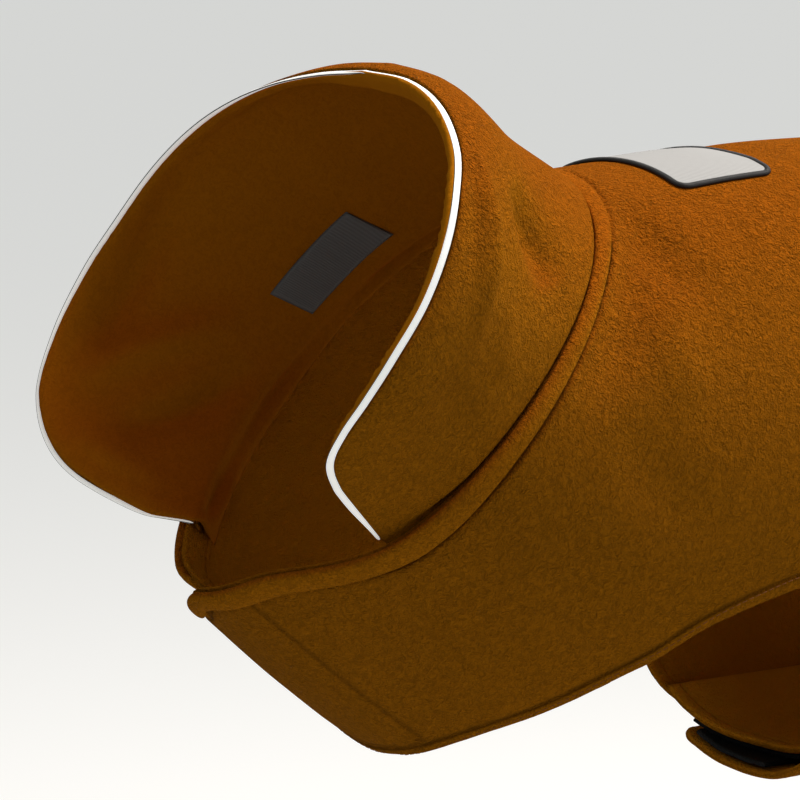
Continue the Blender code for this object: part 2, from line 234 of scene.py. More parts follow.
def below_neckline(distance, angle):
    """The station that lies this far behind the neckline along the cloth."""
    step = np.linalg.norm(torso(0.1, angle) - torso(0.0, angle), axis=-1)
    return neckline(angle) + 0.1 * distance / step


def behind_neckline(station, angle):
    """How far a place lies behind the neckline along the cloth, in mm."""
    step = np.linalg.norm(torso(0.1, angle) - torso(0.0, angle), axis=-1)
    return (station - neckline(angle)) * step / 0.1


def roll_width(angle):
    """How far the rolled neckline reaches down the panel, in mm. It is widest on the chest."""
    return 7.8 + 4.6 * ramp(np.abs(angle), 70, 125)


def chest_lift(station, angle):
    """The left flap rises off the torso and the right one sinks below it."""
    side = np.where(np.asarray(angle) < 0, 1.0, -1.0)
    return side * CHEST_LAP / 2 * ramp(np.abs(angle), 148, 170) * (1 - ramp(station, 2.2, 3.2))


print("the left flap lies out by, mm:", float(chest_lift(1.0, -175)))

# %% [markdown]
# ## Cloth with a thickness
#
# Cloth could be one sheet with a Solidify modifier, but that leaves its edges square. Fleece edges are round
# and a turned hem is thicker than the rest. So a piece is built as two grids, an outer and an inner skin,
# that meet at the free edge, and the distance to that edge tells how thick the cloth is there. The same
# distance is stored on the mesh, where the material reads it to dent the line of stitches and paint shade
# into it.

# %% Helpers for grids
def run_along(line):
    """How far each point of a line lies along it."""
    steps = np.linalg.norm(np.diff(line, axis=0), axis=1)
    return np.concatenate([[0.0], np.cumsum(steps)])


def even(line, gap):
    """The same line, with points this far apart."""
    run = run_along(line)
    places = np.linspace(0, run[-1], max(int(run[-1] / gap), 2) + 1)
    return np.stack([np.interp(places, run, line[:, k]) for k in range(3)], axis=1)


def distance_to(points, *lines):
    """How far each point lies from the nearest of some lines."""
    marks = np.concatenate([even(line, 0.8) for line in lines])
    tree = kdtree.KDTree(len(marks))
    for i, mark in enumerate(marks):
        tree.insert(mark, i)
    tree.balance()
    flat = points.reshape(-1, 3)
    return np.array([tree.find(point)[2] for point in flat]).reshape(points.shape[:-1])


def facing(grid):
    """The unit normals of a grid of points."""
    return unit(np.cross(np.gradient(grid, axis=0), np.gradient(grid, axis=1)))


# How far the columns of a grid lie from a hem, in mm. They are closest at the edge and in the groove.
EDGE_COLUMNS = np.array((0, 0.35, 0.9, 1.7, 2.7, 4.0, 5.3, 6.4, 7.2, 8.0, 9.2, 11.0, 14.0, 18.0, 23.0))
print("columns along a hem:", len(EDGE_COLUMNS))


# %% A new object
def new_piece(name, points, faces, marks=None):
    """A smooth object from points in millimetres. marks are numbers stored on its points, by name."""
    mesh = bpy.data.meshes.new(name)
    mesh.from_pydata((points.reshape(-1, 3) / 1000).tolist(), [], faces)
    for mark, values in (marks or {}).items():
        stored = mesh.attributes.new(mark, "FLOAT", "POINT")
        stored.data.foreach_set("value", values.reshape(-1).astype(np.float32))
    mesh.shade_smooth()
    piece = bpy.data.objects.new(name, mesh)
    bpy.context.scene.collection.objects.link(piece)
    return piece


def mark_painted_top_light(mesh):
    """Stores how much each point faces up. There the fleece's colour is painted redder, as the light from
    above shows it.
    """
    normals = np.zeros(3 * len(mesh.vertices), np.float32)
    mesh.vertex_normals.foreach_get("vector", normals)
    facing_up = ramp(normals[2::3], -0.15, 0.85).astype(np.float32)
    mesh.attributes.new("upward", "FLOAT", "POINT").data.foreach_set("value", facing_up)


print("pieces get their points in millimetres")


# %% Two skins that share their border, and a tube
def quads(index, turned):
    """The faces between the rows and columns of a grid of point numbers."""
    corners = [index[:-1, :-1], index[1:, :-1], index[1:, 1:], index[:-1, 1:]]
    return np.stack(corners[::-1] if turned else corners, axis=-1).reshape(-1, 4)


def cloth_mesh(name, outer, inner, marks=None):
    """A closed piece of cloth from two grids in millimetres. marks are numbers stored on its points."""
    rows, columns = outer.shape[:2]
    top = np.arange(rows * columns).reshape(rows, columns)
    bottom = top.copy()
    within = (slice(1, -1), slice(1, -1))
    count = bottom[within].size
    bottom[within] = rows * columns + np.arange(count).reshape(bottom[within].shape)
    out = np.cross(np.gradient(outer, axis=0), np.gradient(outer, axis=1))
    turned = float(((outer - inner) * out).sum()) < 0
    faces = np.concatenate([quads(top, turned), quads(bottom, not turned)])
    both_skins = {
        mark: np.concatenate([values.reshape(-1), values[within].reshape(-1)])
        for mark, values in (marks or {}).items()
    }
    both_skins["lining"] = np.concatenate([np.zeros(rows * columns), np.ones(count)])
    points = np.concatenate([outer.reshape(-1, 3), inner[within].reshape(-1, 3)])
    piece = new_piece(name, points, faces.tolist(), both_skins)
    mark_painted_top_light(piece.data)
    return piece


def tube_mesh(name, rings, marks=None):
    """A closed tube from rings of points in millimetres: rings[k] is the k-th ring. Both ends are capped."""
    count, sides = rings.shape[:2]
    index = np.arange(count * sides).reshape(count, sides)
    out = np.cross(rings[1:, :-1] - rings[:-1, :-1], rings[:-1, 1:] - rings[:-1, :-1])
    turned = float((out * (rings - rings.mean(axis=1, keepdims=True))[:-1, :-1]).sum()) < 0
    faces = quads(np.concatenate([index, index[:, :1]], axis=1), turned).tolist()
    first, last = index[0].tolist(), index[-1].tolist()
    faces += [first[::-1], last] if turned else [first, last[::-1]]
    piece = new_piece(name, rings, faces, marks)
    mark_painted_top_light(piece.data)
    return piece


def round_edge(distance, radius):
    """The share of the full thickness that cloth has this far from its free edge."""
    near = np.clip(1 - distance / radius, 0, 1)
    return np.sqrt(np.maximum(1 - near**2, 0))


def area_of(grid):
    """The area of a grid in square metres."""
    across, down = grid[1:, 1:] - grid[:-1, :-1], grid[1:, :-1] - grid[:-1, 1:]
    return float(np.linalg.norm(np.cross(across, down), axis=-1).sum() / 2e6)


print("thickness 1 mm from an edge:", round(float(round_edge(np.array(1.0), 2.2)), 2))


# %% [markdown]
# ## Folds
#
# Worn fleece is too thick for sharp creases. It makes long soft troughs where it is pulled, and low ridges
# where it is pushed together, each fading out at its ends. A simulation would crease the whole coat at
# random, so they are listed one by one instead: each is a line of places with a width and a height, and no
# two are alike.

# %% Laying folds on a grid
def fold_lines(folds, point_at):
    """Each fold as (points of its line, half width, height)."""
    lines = []
    for _, path, width, height in folds:
        rows = [("", *place) for place in path]
        places = between(rows, np.linspace(0, len(path) - 1, 48))
        lines.append((point_at(places[:, 0], places[:, 1]), width, height))
    return lines


def folded(points, lines):
    """How far the folds raise each point."""
    raised = np.zeros(points.shape[:-1])
    for line, width, height in lines:
        low, high = line.min(axis=0) - 3 * width, line.max(axis=0) + 3 * width
        near = ((points > low) & (points < high)).all(axis=-1)
        if not near.any():
            continue
        apart = np.linalg.norm(points[near][:, None] - line[None], axis=-1)
        nearest = apart.argmin(axis=1)
        share = nearest / (len(line) - 1)
        fade = np.sin(math.pi * np.clip(share * 0.96 + 0.02, 0, 1)) ** 0.8
        raised[near] += height * fade * hump(apart.min(axis=1), 0, width)
    return raised


print("folds fade at both ends")

# %% [markdown]
# ## Fleece
#
# Polar fleece is brushed until its fibres stand up and tangle in small clumps, with darker hollows between
# them. An image of it would repeat, so the clumps are made from two noises: a coarse one for the clumps, a
# fine one for the fibres. Both drive one height, and the height picks between a root and a tip colour and
# bends the light through a Bump node. It is a node group, because the outside and the brushed-flat inside use
# it with different values. Its sheen, the pale glow of fibre ends seen from the side, is a plain number on
# the shader.

# %% A place for shared effects
def group(name, inputs, outputs):
    """An empty node group with named sockets: inputs and outputs are (name, socket type, value)."""
    made = bpy.data.node_groups.new(name, "ShaderNodeTree")
    for label, kind, value in inputs:
        socket = made.interface.new_socket(name=label, in_out="INPUT", socket_type=kind)
        if value is not None:
            socket.default_value = value
    for label, kind in outputs:
        made.interface.new_socket(name=label, in_out="OUTPUT", socket_type=kind)
    return made, made.nodes.new("NodeGroupInput"), made.nodes.new("NodeGroupOutput")


def node(tree, kind, settings=None, values=None):
    """A node with its settings, and with the values of its inputs."""
    made = tree.nodes.new(kind)
    for label, value in (settings or {}).items():
        setattr(made, label, value)
    for label, value in (values or {}).items():
        made.inputs[label].default_value = value
    return made


def maths(tree, operation, first, second=None):
    """A Math node. Its inputs are numbers or sockets."""
    made = node(tree, "ShaderNodeMath", {"operation": operation})
    for slot, value in enumerate((first, second)):
        if hasattr(value, "is_linked"):
            tree.links.new(value, made.inputs[slot])
        elif value is not None:
            made.inputs[slot].default_value = value
    return made.outputs[0]


def mix(tree, share, first, second, blend="MIX"):
    """A colour Mix node."""
    made = node(tree, "ShaderNodeMix", {"data_type": "RGBA", "blend_type": blend})
    for socket, value in ((made.inputs[0], share), (made.inputs[6], first), (made.inputs[7], second)):
        if hasattr(value, "is_linked"):
            tree.links.new(value, socket)
        else:
            socket.default_value = value
    return made.outputs[2]


def bump(tree, height, strength, distance):
    """The normal that a relief of this distance, in metres, gives."""
    made = node(tree, "ShaderNodeBump", None, {"Strength": strength, "Distance": distance})
    tree.links.new(height, made.inputs["Height"])
    return made.outputs["Normal"]


def share_between(tree, value, start, end, kind="SMOOTHSTEP"):
    """0 up to start, 1 from end, and a step of its kind between."""
    limits = {"From Min": start, "From Max": end}
    made = node(tree, "ShaderNodeMapRange", {"interpolation_type": kind}, limits)
    tree.links.new(value, made.inputs["Value"])
    return made.outputs["Result"]


def marked(tree, mark):
    """The number that the mesh has under this name."""
    return node(tree, "ShaderNodeAttribute", {"attribute_name": mark}).outputs["Fac"]


def own_place(tree):
    """Where a point lies on its own object, in metres."""
    return node(tree, "ShaderNodeTexCoord").outputs["Object"]


def new_material(name):
    """A material with its node tree and its shader."""
    made = bpy.data.materials.new(name)
    made.use_nodes = True
    return made, made.node_tree, made.node_tree.nodes["Principled BSDF"]


print("helpers for materials are ready")

# %% The nap of the fleece
COLOUR, NUMBER, VECTOR = "NodeSocketColor", "NodeSocketFloat", "NodeSocketVector"

nap, given, result = group(
    "fleece_nap",
    [
        ("Place", VECTOR, None),
        ("Clump size mm", NUMBER, 3.0),
        ("Fibre size mm", NUMBER, 0.9),
        ("Root colour", COLOUR, (0.2, 0.06, 0.002, 1)),
        ("Tip colour", COLOUR, (0.5, 0.16, 0.01, 1)),
        ("Painted top light", NUMBER, 0.0),
        ("Depth mm", NUMBER, 1.0),
        ("Groove", NUMBER, 0.0),
    ],
    [("Color", COLOUR), ("Normal", VECTOR)],
)
clump_scale = maths(nap, "DIVIDE", 1000.0, given.outputs["Clump size mm"])
fibre_scale = maths(nap, "DIVIDE", 1000.0, given.outputs["Fibre size mm"])
clumps = node(nap, "ShaderNodeTexNoise", None, {"Detail": 2.0, "Roughness": 0.6, "Distortion": 1.4})
fibres = node(nap, "ShaderNodeTexNoise", None, {"Detail": 2.0, "Roughness": 0.6, "Distortion": 0.8})
patches = node(nap, "ShaderNodeTexNoise", None, {"Scale": 22.0, "Detail": 2.0, "Roughness": 0.5})
tufts = node(
    nap,
    "ShaderNodeTexNoise",
    None,
    {"Scale": 130.0, "Detail": 1.0, "Roughness": 0.5, "Distortion": 1.0},
)
for texture, scale in ((clumps, clump_scale), (fibres, fibre_scale)):
    nap.links.new(scale, texture.inputs["Scale"])
for texture in (clumps, fibres, patches, tufts):
    nap.links.new(given.outputs["Place"], texture.inputs["Vector"])

# The pile's height: clumps and the fibres on them.
clump_part = maths(nap, "MULTIPLY", clumps.outputs["Fac"], 0.7)
height = maths(nap, "ADD", clump_part, maths(nap, "MULTIPLY", fibres.outputs["Fac"], 0.3))

# Its colour: tips where it is high, a little more or less of them from patch to patch, painted shade in a
# groove.
worn = maths(nap, "ADD", maths(nap, "MULTIPLY", patches.outputs["Fac"], 0.30), -0.15)
worn_tips = maths(nap, "ADD", share_between(nap, height, 0.36, 0.62), worn)
tips_left = node(nap, "ShaderNodeClamp")
# Painted shade: a groove takes tips away, and further on its colour is mixed towards a dark brown.
painted_groove_shade = maths(nap, "MULTIPLY", given.outputs["Groove"], 0.8)
nap.links.new(maths(nap, "SUBTRACT", worn_tips, painted_groove_shade), tips_left.inputs["Value"])
pile_colour = mix(nap, tips_left.outputs[0], given.outputs["Root colour"], given.outputs["Tip colour"])
# Painted light: where the cloth faces up, its colour is painted redder, as the light from above shows it.
pile_colour = mix(nap, given.outputs["Painted top light"], pile_colour, (1.0, 0.70, 0.9, 1), "MULTIPLY")
# Painted shade: the dark brown that a groove is mixed towards.
sunk = maths(nap, "MULTIPLY", given.outputs["Groove"], 0.62)
nap.links.new(mix(nap, sunk, pile_colour, (0.060, 0.014, 0.0004, 1)), result.inputs["Color"])

# Its relief: the same height on larger tufts, pressed down in a groove.
ruffled = maths(nap, "ADD", height, maths(nap, "MULTIPLY", tufts.outputs["Fac"], 0.4))
dented = maths(nap, "SUBTRACT", ruffled, maths(nap, "MULTIPLY", given.outputs["Groove"], 0.6))
relief = node(nap, "ShaderNodeBump", None, {"Strength": 1.0})
nap.links.new(dented, relief.inputs["Height"])
nap.links.new(maths(nap, "DIVIDE", given.outputs["Depth mm"], 1000.0), relief.inputs["Distance"])
nap.links.new(relief.outputs["Normal"], result.inputs["Normal"])
print("nap:", len(nap.nodes), "nodes")


# %% Fleece, with grooves along its lines of stitches
def groove_at(tree, attribute, distance, width):
    """1 on the line that lies this far, in mm, from what the attribute measures, falling to 0 beside it."""
    apart = maths(tree, "DIVIDE", maths(tree, "SUBTRACT", marked(tree, attribute), distance), width)
    steep = maths(tree, "POWER", maths(tree, "ABSOLUTE", apart), 4.0)
    return maths(tree, "DIVIDE", 1.0, maths(tree, "ADD", 1.0, steep))


def fleece(name, root, tip, clump, fibre, depth, grooves=(), sheen=0.2, second_colour_and_painted_light=None):
    """A fleece material. grooves are (attribute, distance, half width, depth) of its lines of stitches, which
    are dented and painted darker as shade, and other is (attribute, colour) of a part with a second colour:
    the rim's colour on the collar lining, and painted light on the insides of the panel and the straps."""
    made, tree, shader = new_material(name)
    pile = node(tree, "ShaderNodeGroup", {"node_tree": nap})
    for label, value in (
        ("Clump size mm", clump),
        ("Fibre size mm", fibre),
        ("Root colour", (*root, 1)),
        ("Tip colour", (*tip, 1)),
        ("Depth mm", depth),
    ):
        pile.inputs[label].default_value = value
    tree.links.new(own_place(tree), pile.inputs["Place"])
    # Painted light: how much the cloth faces up, where its colour is painted redder.
    tree.links.new(marked(tree, "upward"), pile.inputs["Painted top light"])
    sunk = None
    # Painted shade: each groove dents the pile and darkens its colour.
    for attribute, distance, width, strength in grooves:
        one = maths(tree, "MULTIPLY", groove_at(tree, attribute, distance, width), strength)
        sunk = one if sunk is None else maths(tree, "MAXIMUM", sunk, one)
    if sunk is not None:
        tree.links.new(sunk, pile.inputs["Groove"])
    colour = pile.outputs["Color"]
    # The second colour: the rim's colour on the collar lining, and painted light on the insides of the panel
    # and straps.
    if second_colour_and_painted_light:
        colour = mix(tree, marked(tree, second_colour_and_painted_light[0]), colour, (*second_colour_and_painted_light[1], 1))
    tree.links.new(colour, shader.inputs["Base Color"])
    tree.links.new(pile.outputs["Normal"], shader.inputs["Normal"])
    shader.inputs["Roughness"].default_value = 0.95
    shader.inputs["Specular IOR Level"].default_value = 0.02
    shader.inputs["Sheen Weight"].default_value = sheen
    shader.inputs["Sheen Roughness"].default_value = 0.5
    shader.inputs["Sheen Tint"].default_value = (1.0, 0.42, 0.02, 1)
    return made


print("a fleece has the nap, its grooves and a faint sheen")

# %% Four fleeces
ROOT, TIP = (0.30, 0.103, 0.0024), (0.47, 0.160, 0.0038)  # the two oranges of the outer fleece
LINING_ROOT, LINING_TIP = (0.312, 0.098, 0.0022), (0.376, 0.119, 0.0028)  # closer together: it is flatter
HEM_STITCHES = 7.2  # mm from the free edge
HEM_GROOVE = ("edge", HEM_STITCHES, 0.9, 0.8)
TAPE_GROOVE = ("tape_seam", 0.0, 1.2, 0.5)
NECK_GROOVE = ("behind", 1.6, 1.1, 0.75)
RIM_GROOVE = ("edge", HEM_STITCHES + 1.0, 0.9, 0.8)

panel_fleece = fleece(
    "panel_fleece",
    ROOT,
    TIP,
    clump=2.6,
    fibre=0.8,
    depth=9.0,
    grooves=[HEM_GROOVE, TAPE_GROOVE, NECK_GROOVE],
    # Painted light: the panel's inside is painted lighter than its outside, as light falling into the coat
    # would show it.
    second_colour_and_painted_light=("lining", (0.64, 0.212, 0.0048)),
)
roll_fleece = fleece("roll_fleece", ROOT, TIP, clump=2.3, fibre=0.8, depth=5.0)
collar_fleece = fleece("collar_fleece", ROOT, TIP, clump=2.6, fibre=0.8, depth=8.0)
lining_fleece = fleece(
    "lining_fleece",
    LINING_ROOT,
    LINING_TIP,
    clump=2.4,
    fibre=0.8,
    depth=0.6,
    grooves=[RIM_GROOVE],
    sheen=0.1,
    second_colour_and_painted_light=("rim", (0.43, 0.144, 0.0032)),
)
print("fleece finishes:", panel_fleece.name, roll_fleece.name, collar_fleece.name, lining_fleece.name)

# %% [markdown]
# ## The main panel
#
# One wide piece of fleece covers the back, wraps the sides, and runs forward under the neck in two chest
# flaps. Behind the front legs it has a small wing on either side that carries a belly strap. Its outline is a
# table: each row gives the station that the row has on the back, and the station and angle that it has at the
# edge. The hem is turned once and sewn, so it is a little thicker than the rest and ends in a groove.

# %% The outline
PANEL_EDGE = (
    ("tip", 0.00, 0.00, 172, 1.0),
    ("tip_round", 0.06, 0.05, 178, 1.0),
    ("flap_top", 0.20, 0.20, 180, 1.0),
    ("flap_upper", 0.45, 0.60, 180, 1.0),
    ("flap_middle", 0.70, 1.05, 179, 1.0),
    ("flap_lower", 0.95, 1.50, 178, 1.0),
    ("corner_front", 1.15, 1.75, 177, 0.9),
    ("corner", 1.30, 1.84, 171, 0.6),
    ("corner_back", 1.42, 1.84, 166, 0.3),
    ("chest_hem", 1.56, 1.94, 158, 0.0),
    ("arm_front", 1.78, 2.14, 146, 0.0),
    ("arm_low", 2.15, 2.48, 132, 0.0),
    ("arm_rise", 2.55, 2.76, 124, 0.0),
    ("arm_high", 3.00, 3.05, 116, 0.0),
    ("arm_top", 3.50, 3.60, 109, 0.0),
    ("arm_rear", 4.10, 4.05, 108, 0.0),
    ("wing_front", 4.55, 4.38, 114, 0.0),
    ("wing_upper", 4.80, 4.52, 127, 0.0),
    ("wing_lower", 4.95, 4.56, 140, 0.0),
    ("wing_corner", 5.08, 4.64, 150, 0.0),
    ("wing_end", 5.20, 4.82, 155, 0.0),
    ("wing_middle", 5.45, 5.42, 155, 0.0),
    ("wing_end_rear", 5.66, 5.86, 155, 0.0),
    ("wing_corner_rear", 5.78, 6.02, 151, 0.0),
    ("wing_lower_rear", 5.90, 6.08, 140, 0.0),
    ("wing_upper_rear", 6.04, 6.14, 124, 0.0),
    ("flank_front", 6.30, 6.36, 108, 0.0),
    ("flank", 6.75, 6.80, 101, 0.0),
    ("loin", 7.40, 7.40, 98, 0.0),
    ("hip", 8.20, 8.20, 95, 0.0),
    ("thigh", 9.00, 9.00, 90, 0.0),
    ("tail_side", 9.55, 9.50, 82, 0.0),
    ("tail_round", 9.85, 9.82, 70, 0.0),
    ("tail", 10.00, 9.96, 54, 0.0),
)
FLAP_REACH = {-1: 18.0, 1: 9.0}  # degrees past the breastbone: the left flap closes over the right


def panel_places(row, side, shares):
    """The stations and angles of places along one row, on one side."""
    top_station, edge_station, edge_angle, flap = between(PANEL_EDGE, row)
    angles = side * shares * (edge_angle + max(flap, 0) * FLAP_REACH[side])
    stations = top_station + (edge_station - top_station) * shares**1.5
    return stations + neckline(angles) * (1 - ramp(top_station, 0, 0.8)), angles


def panel_point(stations, angles):
    """The middle of the panel's thickness at a place."""
    return lifted(stations, angles, chest_lift(stations, angles))


print("rows in the outline:", len(PANEL_EDGE))

# %% Rows and columns, close together along the hem
CLOTH_STEP, STEP_BY_THE_ROLL = 4.4, 1.7  # mm between points away from the edges, and beside the neck roll
SIDE_COLUMNS = 56  # on each side, away from the hem
TAIL_STEPS = (0.85, 0.78, 0.7, 0.6, 0.5, 0.42, 0.34, 0.26, 0.18, 0.11, 0.06, 0.025, 0.0)  # rows to the hem

panel_rows = []
for low in range(len(PANEL_EDGE) - 1):
    here, there = (
        [panel_point(*panel_places(row, side, np.array([0.0, 0.6, 1.0]))) for side in (-1, 1)]
        for row in (low, low + 1)
    )
    widest = max(np.linalg.norm(after - before, axis=-1).max() for before, after in zip(here, there))
    step = CLOTH_STEP if low > 2 else STEP_BY_THE_ROLL
    panel_rows += list(np.linspace(low, low + 1, max(math.ceil(widest / step), 2) + 1)[:-1])
last = len(PANEL_EDGE) - 1
panel_rows = [row for row in panel_rows if row < last - 0.9]
panel_rows += [last - step for step in TAIL_STEPS]

stations, angles = [], []
for row in panel_rows:
    halves = []
    for side in (-1, 1):
        fine = np.linspace(0, 1, 241)
        line = panel_point(*panel_places(row, side, fine))
        run = run_along(line)
        edge = run[-1] - EDGE_COLUMNS
        inner = np.linspace(0, edge[-1], SIDE_COLUMNS + 1)
        places = np.concatenate([inner[:-1], edge[::-1]])
        halves.append(panel_places(row, side, np.interp(places, run, fine)))
    stations.append(np.concatenate([halves[0][0][::-1], halves[1][0][1:]]))
    angles.append(np.concatenate([halves[0][1][::-1], halves[1][1][1:]]))
stations, angles = np.array(stations), np.array(angles)
panel_middle = panel_point(stations, angles)
print("main panel:", stations.shape, "points, area in square metres:", round(area_of(panel_middle), 3))

# %% Where the panel is creased
PANEL_FOLDS = (
    # name, the places it runs through (station, angle), half width, height: a height below 0 is a trough
    ("left shoulder, upper", ((0.25, -28), (0.75, -44), (1.5, -60)), 11, -2.8),
    ("left shoulder, lower", ((0.45, -52), (1.1, -66), (1.9, -80)), 13, 1.8),
    ("gather, first", ((0.28, -33), (0.55, -36), (0.85, -38)), 4.5, -1.4),
    ("gather, second", ((0.30, -39), (0.62, -43), (0.95, -46)), 5.0, -1.9),
    ("gather, third", ((0.30, -45), (0.70, -50), (1.25, -55)), 5.5, -2.0),
    ("gather, fourth", ((0.30, -52), (0.60, -57), (0.95, -61)), 4.5, -1.5),
    ("behind the roll", ((0.46, -34), (0.52, -48), (0.56, -64), (0.52, -82)), 17, -5.0),
    ("left elbow", ((0.9, -84), (1.7, -92), (2.8, -98)), 15, -2.0),
    ("left chest", ((0.7, -112), (1.3, -124), (1.9, -136)), 12, 1.5),
    ("left chest, front", ((0.5, -128), (1.0, -142), (1.5, -152)), 10, -1.4),
    ("left girth, upper", ((3.0, -62), (3.9, -72), (4.7, -86)), 13, -2.4),
    ("left girth, lower", ((3.6, -84), (4.3, -98), (4.8, -118)), 11, 1.8),
    ("left wing", ((5.0, -96), (5.2, -116), (5.4, -134)), 9, -1.6),
    ("left wing, rear", ((5.9, -88), (5.8, -108), (5.75, -126)), 9, 1.4),
    ("left flank", ((6.4, -58), (7.0, -72), (7.7, -84)), 14, -2.2),
    ("left hip", ((7.6, -36), (8.3, -52), (9.0, -66)), 15, -1.8),
    ("left rump", ((8.8, -30), (9.3, -44), (9.7, -58)), 12, 1.5),
    ("right shoulder", ((0.3, 34), (0.9, 50), (1.7, 66)), 12, -2.3),
    ("right shoulder, lower", ((0.6, 62), (1.2, 76), (2.0, 88)), 12, 1.6),
    ("right elbow", ((1.1, 96), (1.8, 104), (2.5, 110)), 12, -1.7),
    ("right chest", ((0.6, 118), (1.2, 132), (1.7, 146)), 11, 1.5),
    ("right girth", ((3.2, 70), (4.0, 80), (4.7, 96)), 13, -2.2),
    ("right wing", ((5.1, 92), (5.3, 112), (5.5, 136)), 10, -1.7),
    ("right wing, rear", ((5.8, 84), (5.9, 104), (5.85, 122)), 8, 1.3),
    ("right flank", ((6.5, 60), (7.2, 76), (7.8, 86)), 15, -2.0),
    ("right hip", ((7.9, 30), (8.5, 48), (9.2, 64)), 13, -1.9),
    ("right rump", ((8.9, 26), (9.4, 40), (9.75, 52)), 11, 1.3),
    ("back, behind the patch", ((2.6, -16), (2.9, 0), (2.7, 20)), 14, -1.6),
    ("back, over the loin", ((6.6, -22), (6.9, 2), (6.7, 24)), 17, -1.5),
    ("back, over the hip", ((8.0, -14), (8.2, 4), (8.1, 20)), 15, 1.2),
)

panel_lines = fold_lines(PANEL_FOLDS, panel_point)
panel_normal = facing(panel_middle)
panel_raised = folded(panel_middle, panel_lines)
panel_behind = behind_neckline(stations, angles) - roll_width(angles)
panel_raised -= 1.5 * hump(panel_behind, 1.6, 1.8)  # the dent behind the neck roll
panel_behind += 20 * (1 - ramp(np.abs(angles), 15, 42))  # which carries no stitches on top of the neck
lowest, highest = round(panel_raised.min(), 1), round(panel_raised.max(), 1)
print("folds:", len(PANEL_FOLDS), "between", lowest, "and", highest, "mm")

# %% The stitched outline of the tape inside the left flap
TAPE_OUTLINE = (
    # station and angle: down the flap, round its corner and back past its tip
    (-0.3, -163),
    (0.65, -161.5),
    (1.74, -161),
    (1.71, -168),
    (1.62, -180),
    (1.5, -190),
    (1.3, -206),
    (-0.3, -206),
    (-0.3, -163),
)


def is_inside(outline, x, y):
    """Which of the points (x, y) lie inside a closed outline."""
    inside = np.zeros(np.shape(x), bool)
    for (x0, y0), (x1, y1) in zip(outline[:-1], outline[1:]):
        crosses = (y0 > y) != (y1 > y)
        inside ^= crosses & (x < (x1 - x0) * (y - y0) / (y1 - y0 + 1e-12) + x0)
    return inside


outline_places = np.concatenate([np.linspace(a, b, 24) for a, b in zip(TAPE_OUTLINE[:-1], TAPE_OUTLINE[1:])])
tape_outline = panel_point(outline_places[:, 0], outline_places[:, 1])
panel_edge_lines = [panel_middle[:, 0], panel_middle[:, -1], panel_middle[-1], panel_middle[0]]
panel_edge = distance_to(panel_middle, *panel_edge_lines)
panel_hem = distance_to(panel_middle, *panel_edge_lines[:3])
tape_seam = distance_to(panel_middle, tape_outline)
# Less than 0 inside the outline, so that the line stays sharp where it passes between the points of the mesh.
tape_seam = np.where(is_inside(TAPE_OUTLINE, stations, angles), -tape_seam, tape_seam)
print("the hem is", round(float(panel_hem.max())), "mm from the farthest place")

# %% Thickness and hems
PANEL_WALL = 3.0  # mm


def hem_swell(distance):
    """How much a turned hem adds on each side of the cloth."""
    doubled = 0.75 * round_edge(distance, 3.0) * (1 - ramp(distance, 6.4, 8.4))
    return doubled - 0.55 * hump(distance, 7.4, 1.1)


half_wall = PANEL_WALL / 2 * round_edge(panel_edge, 2.2)
swell = hem_swell(panel_hem) * round_edge(panel_edge, 2.2)
spread_middle = panel_middle + panel_normal * panel_raised[..., None]
panel_outer = spread_middle + panel_normal * (half_wall + swell)[..., None]
panel_inner = spread_middle - panel_normal * (half_wall + swell * 0.6)[..., None]
panel_marks = {"edge": panel_hem, "tape_seam": tape_seam, "behind": panel_behind}
main_panel = cloth_mesh("fleece_panel", panel_outer, panel_inner, panel_marks)
main_panel.data.materials.append(panel_fleece)
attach(main_panel, "root")
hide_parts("main_panel")
print("fleece panel:", len(main_panel.data.polygons), "faces")

# %% [markdown]
# ## The rolled neckline
#
# The top edge of the panel is turned outward and sewn down over the collar seam. It makes a soft roll, widest
# and highest on the chest and almost flat at the back, with a blunt nose at the tip of the left flap. A flat
# band would look like tape, so the roll is a ring of points carried round the neckline: round outside, flat
# on the panel.

# %% Neck roll
ROLL_START, ROLL_END = -187.8, 156.0  # degrees: the tip of the left flap, and under it on the right
ROLL_FRONT = -0.6  # mm behind the neckline

roll_angles = np.concatenate(
    [
        ROLL_START + np.array([0, 0.15, 0.5, 1.1, 2.0]),
        np.linspace(ROLL_START + 3.2, ROLL_END - 3.6, 230),
        ROLL_END - np.array([2.4, 1.5, 0.8, 0.3, 0]),
    ]
)
ring = np.linspace(0, 2 * math.pi, 29)[:-1]
high = 0.8 + 1.5 * ramp(np.abs(roll_angles), 10, 55)  # half the height of the roll
high = high * (1 + 0.3 * ramp(np.abs(roll_angles), 70, 125))
high = high * (1 + 0.08 * np.sin(roll_angles / 9.0) + 0.05 * np.sin(roll_angles / 3.7 + 1.0))
left_share = round_edge(roll_angles - ROLL_START, 13.0)
right_share = round_edge((ROLL_END - roll_angles) * 1.8, 7.0)
end_share = np.minimum(left_share, right_share)
across = np.sign(np.cos(ring)) * np.abs(np.cos(ring)) ** 0.9
upward = np.sign(np.sin(ring)) * np.abs(np.sin(ring)) ** 0.85
nose = round_edge(roll_angles - ROLL_START, 8.0)
roll_rear = roll_width(roll_angles) * (0.15 + 0.85 * nose) * (1 + 0.03 * np.sin(roll_angles / 6.0 + 2.0))
roll_front = ROLL_FRONT + 1.2 * (1 - nose)
distances = (roll_front + roll_rear) / 2 + across[:, None] * (roll_rear - roll_front)[None] / 2
lifts = PANEL_WALL / 2 + (0.7 + upward[:, None]) * high[None] * (0.1 + 0.9 * end_share[None])
lifts = np.maximum(lifts, PANEL_WALL / 2 - 0.5) + chest_lift(0, roll_angles)[None]
around = np.broadcast_to(roll_angles, distances.shape)
roll_outer = lifted(below_neckline(distances, around), around, lifts)

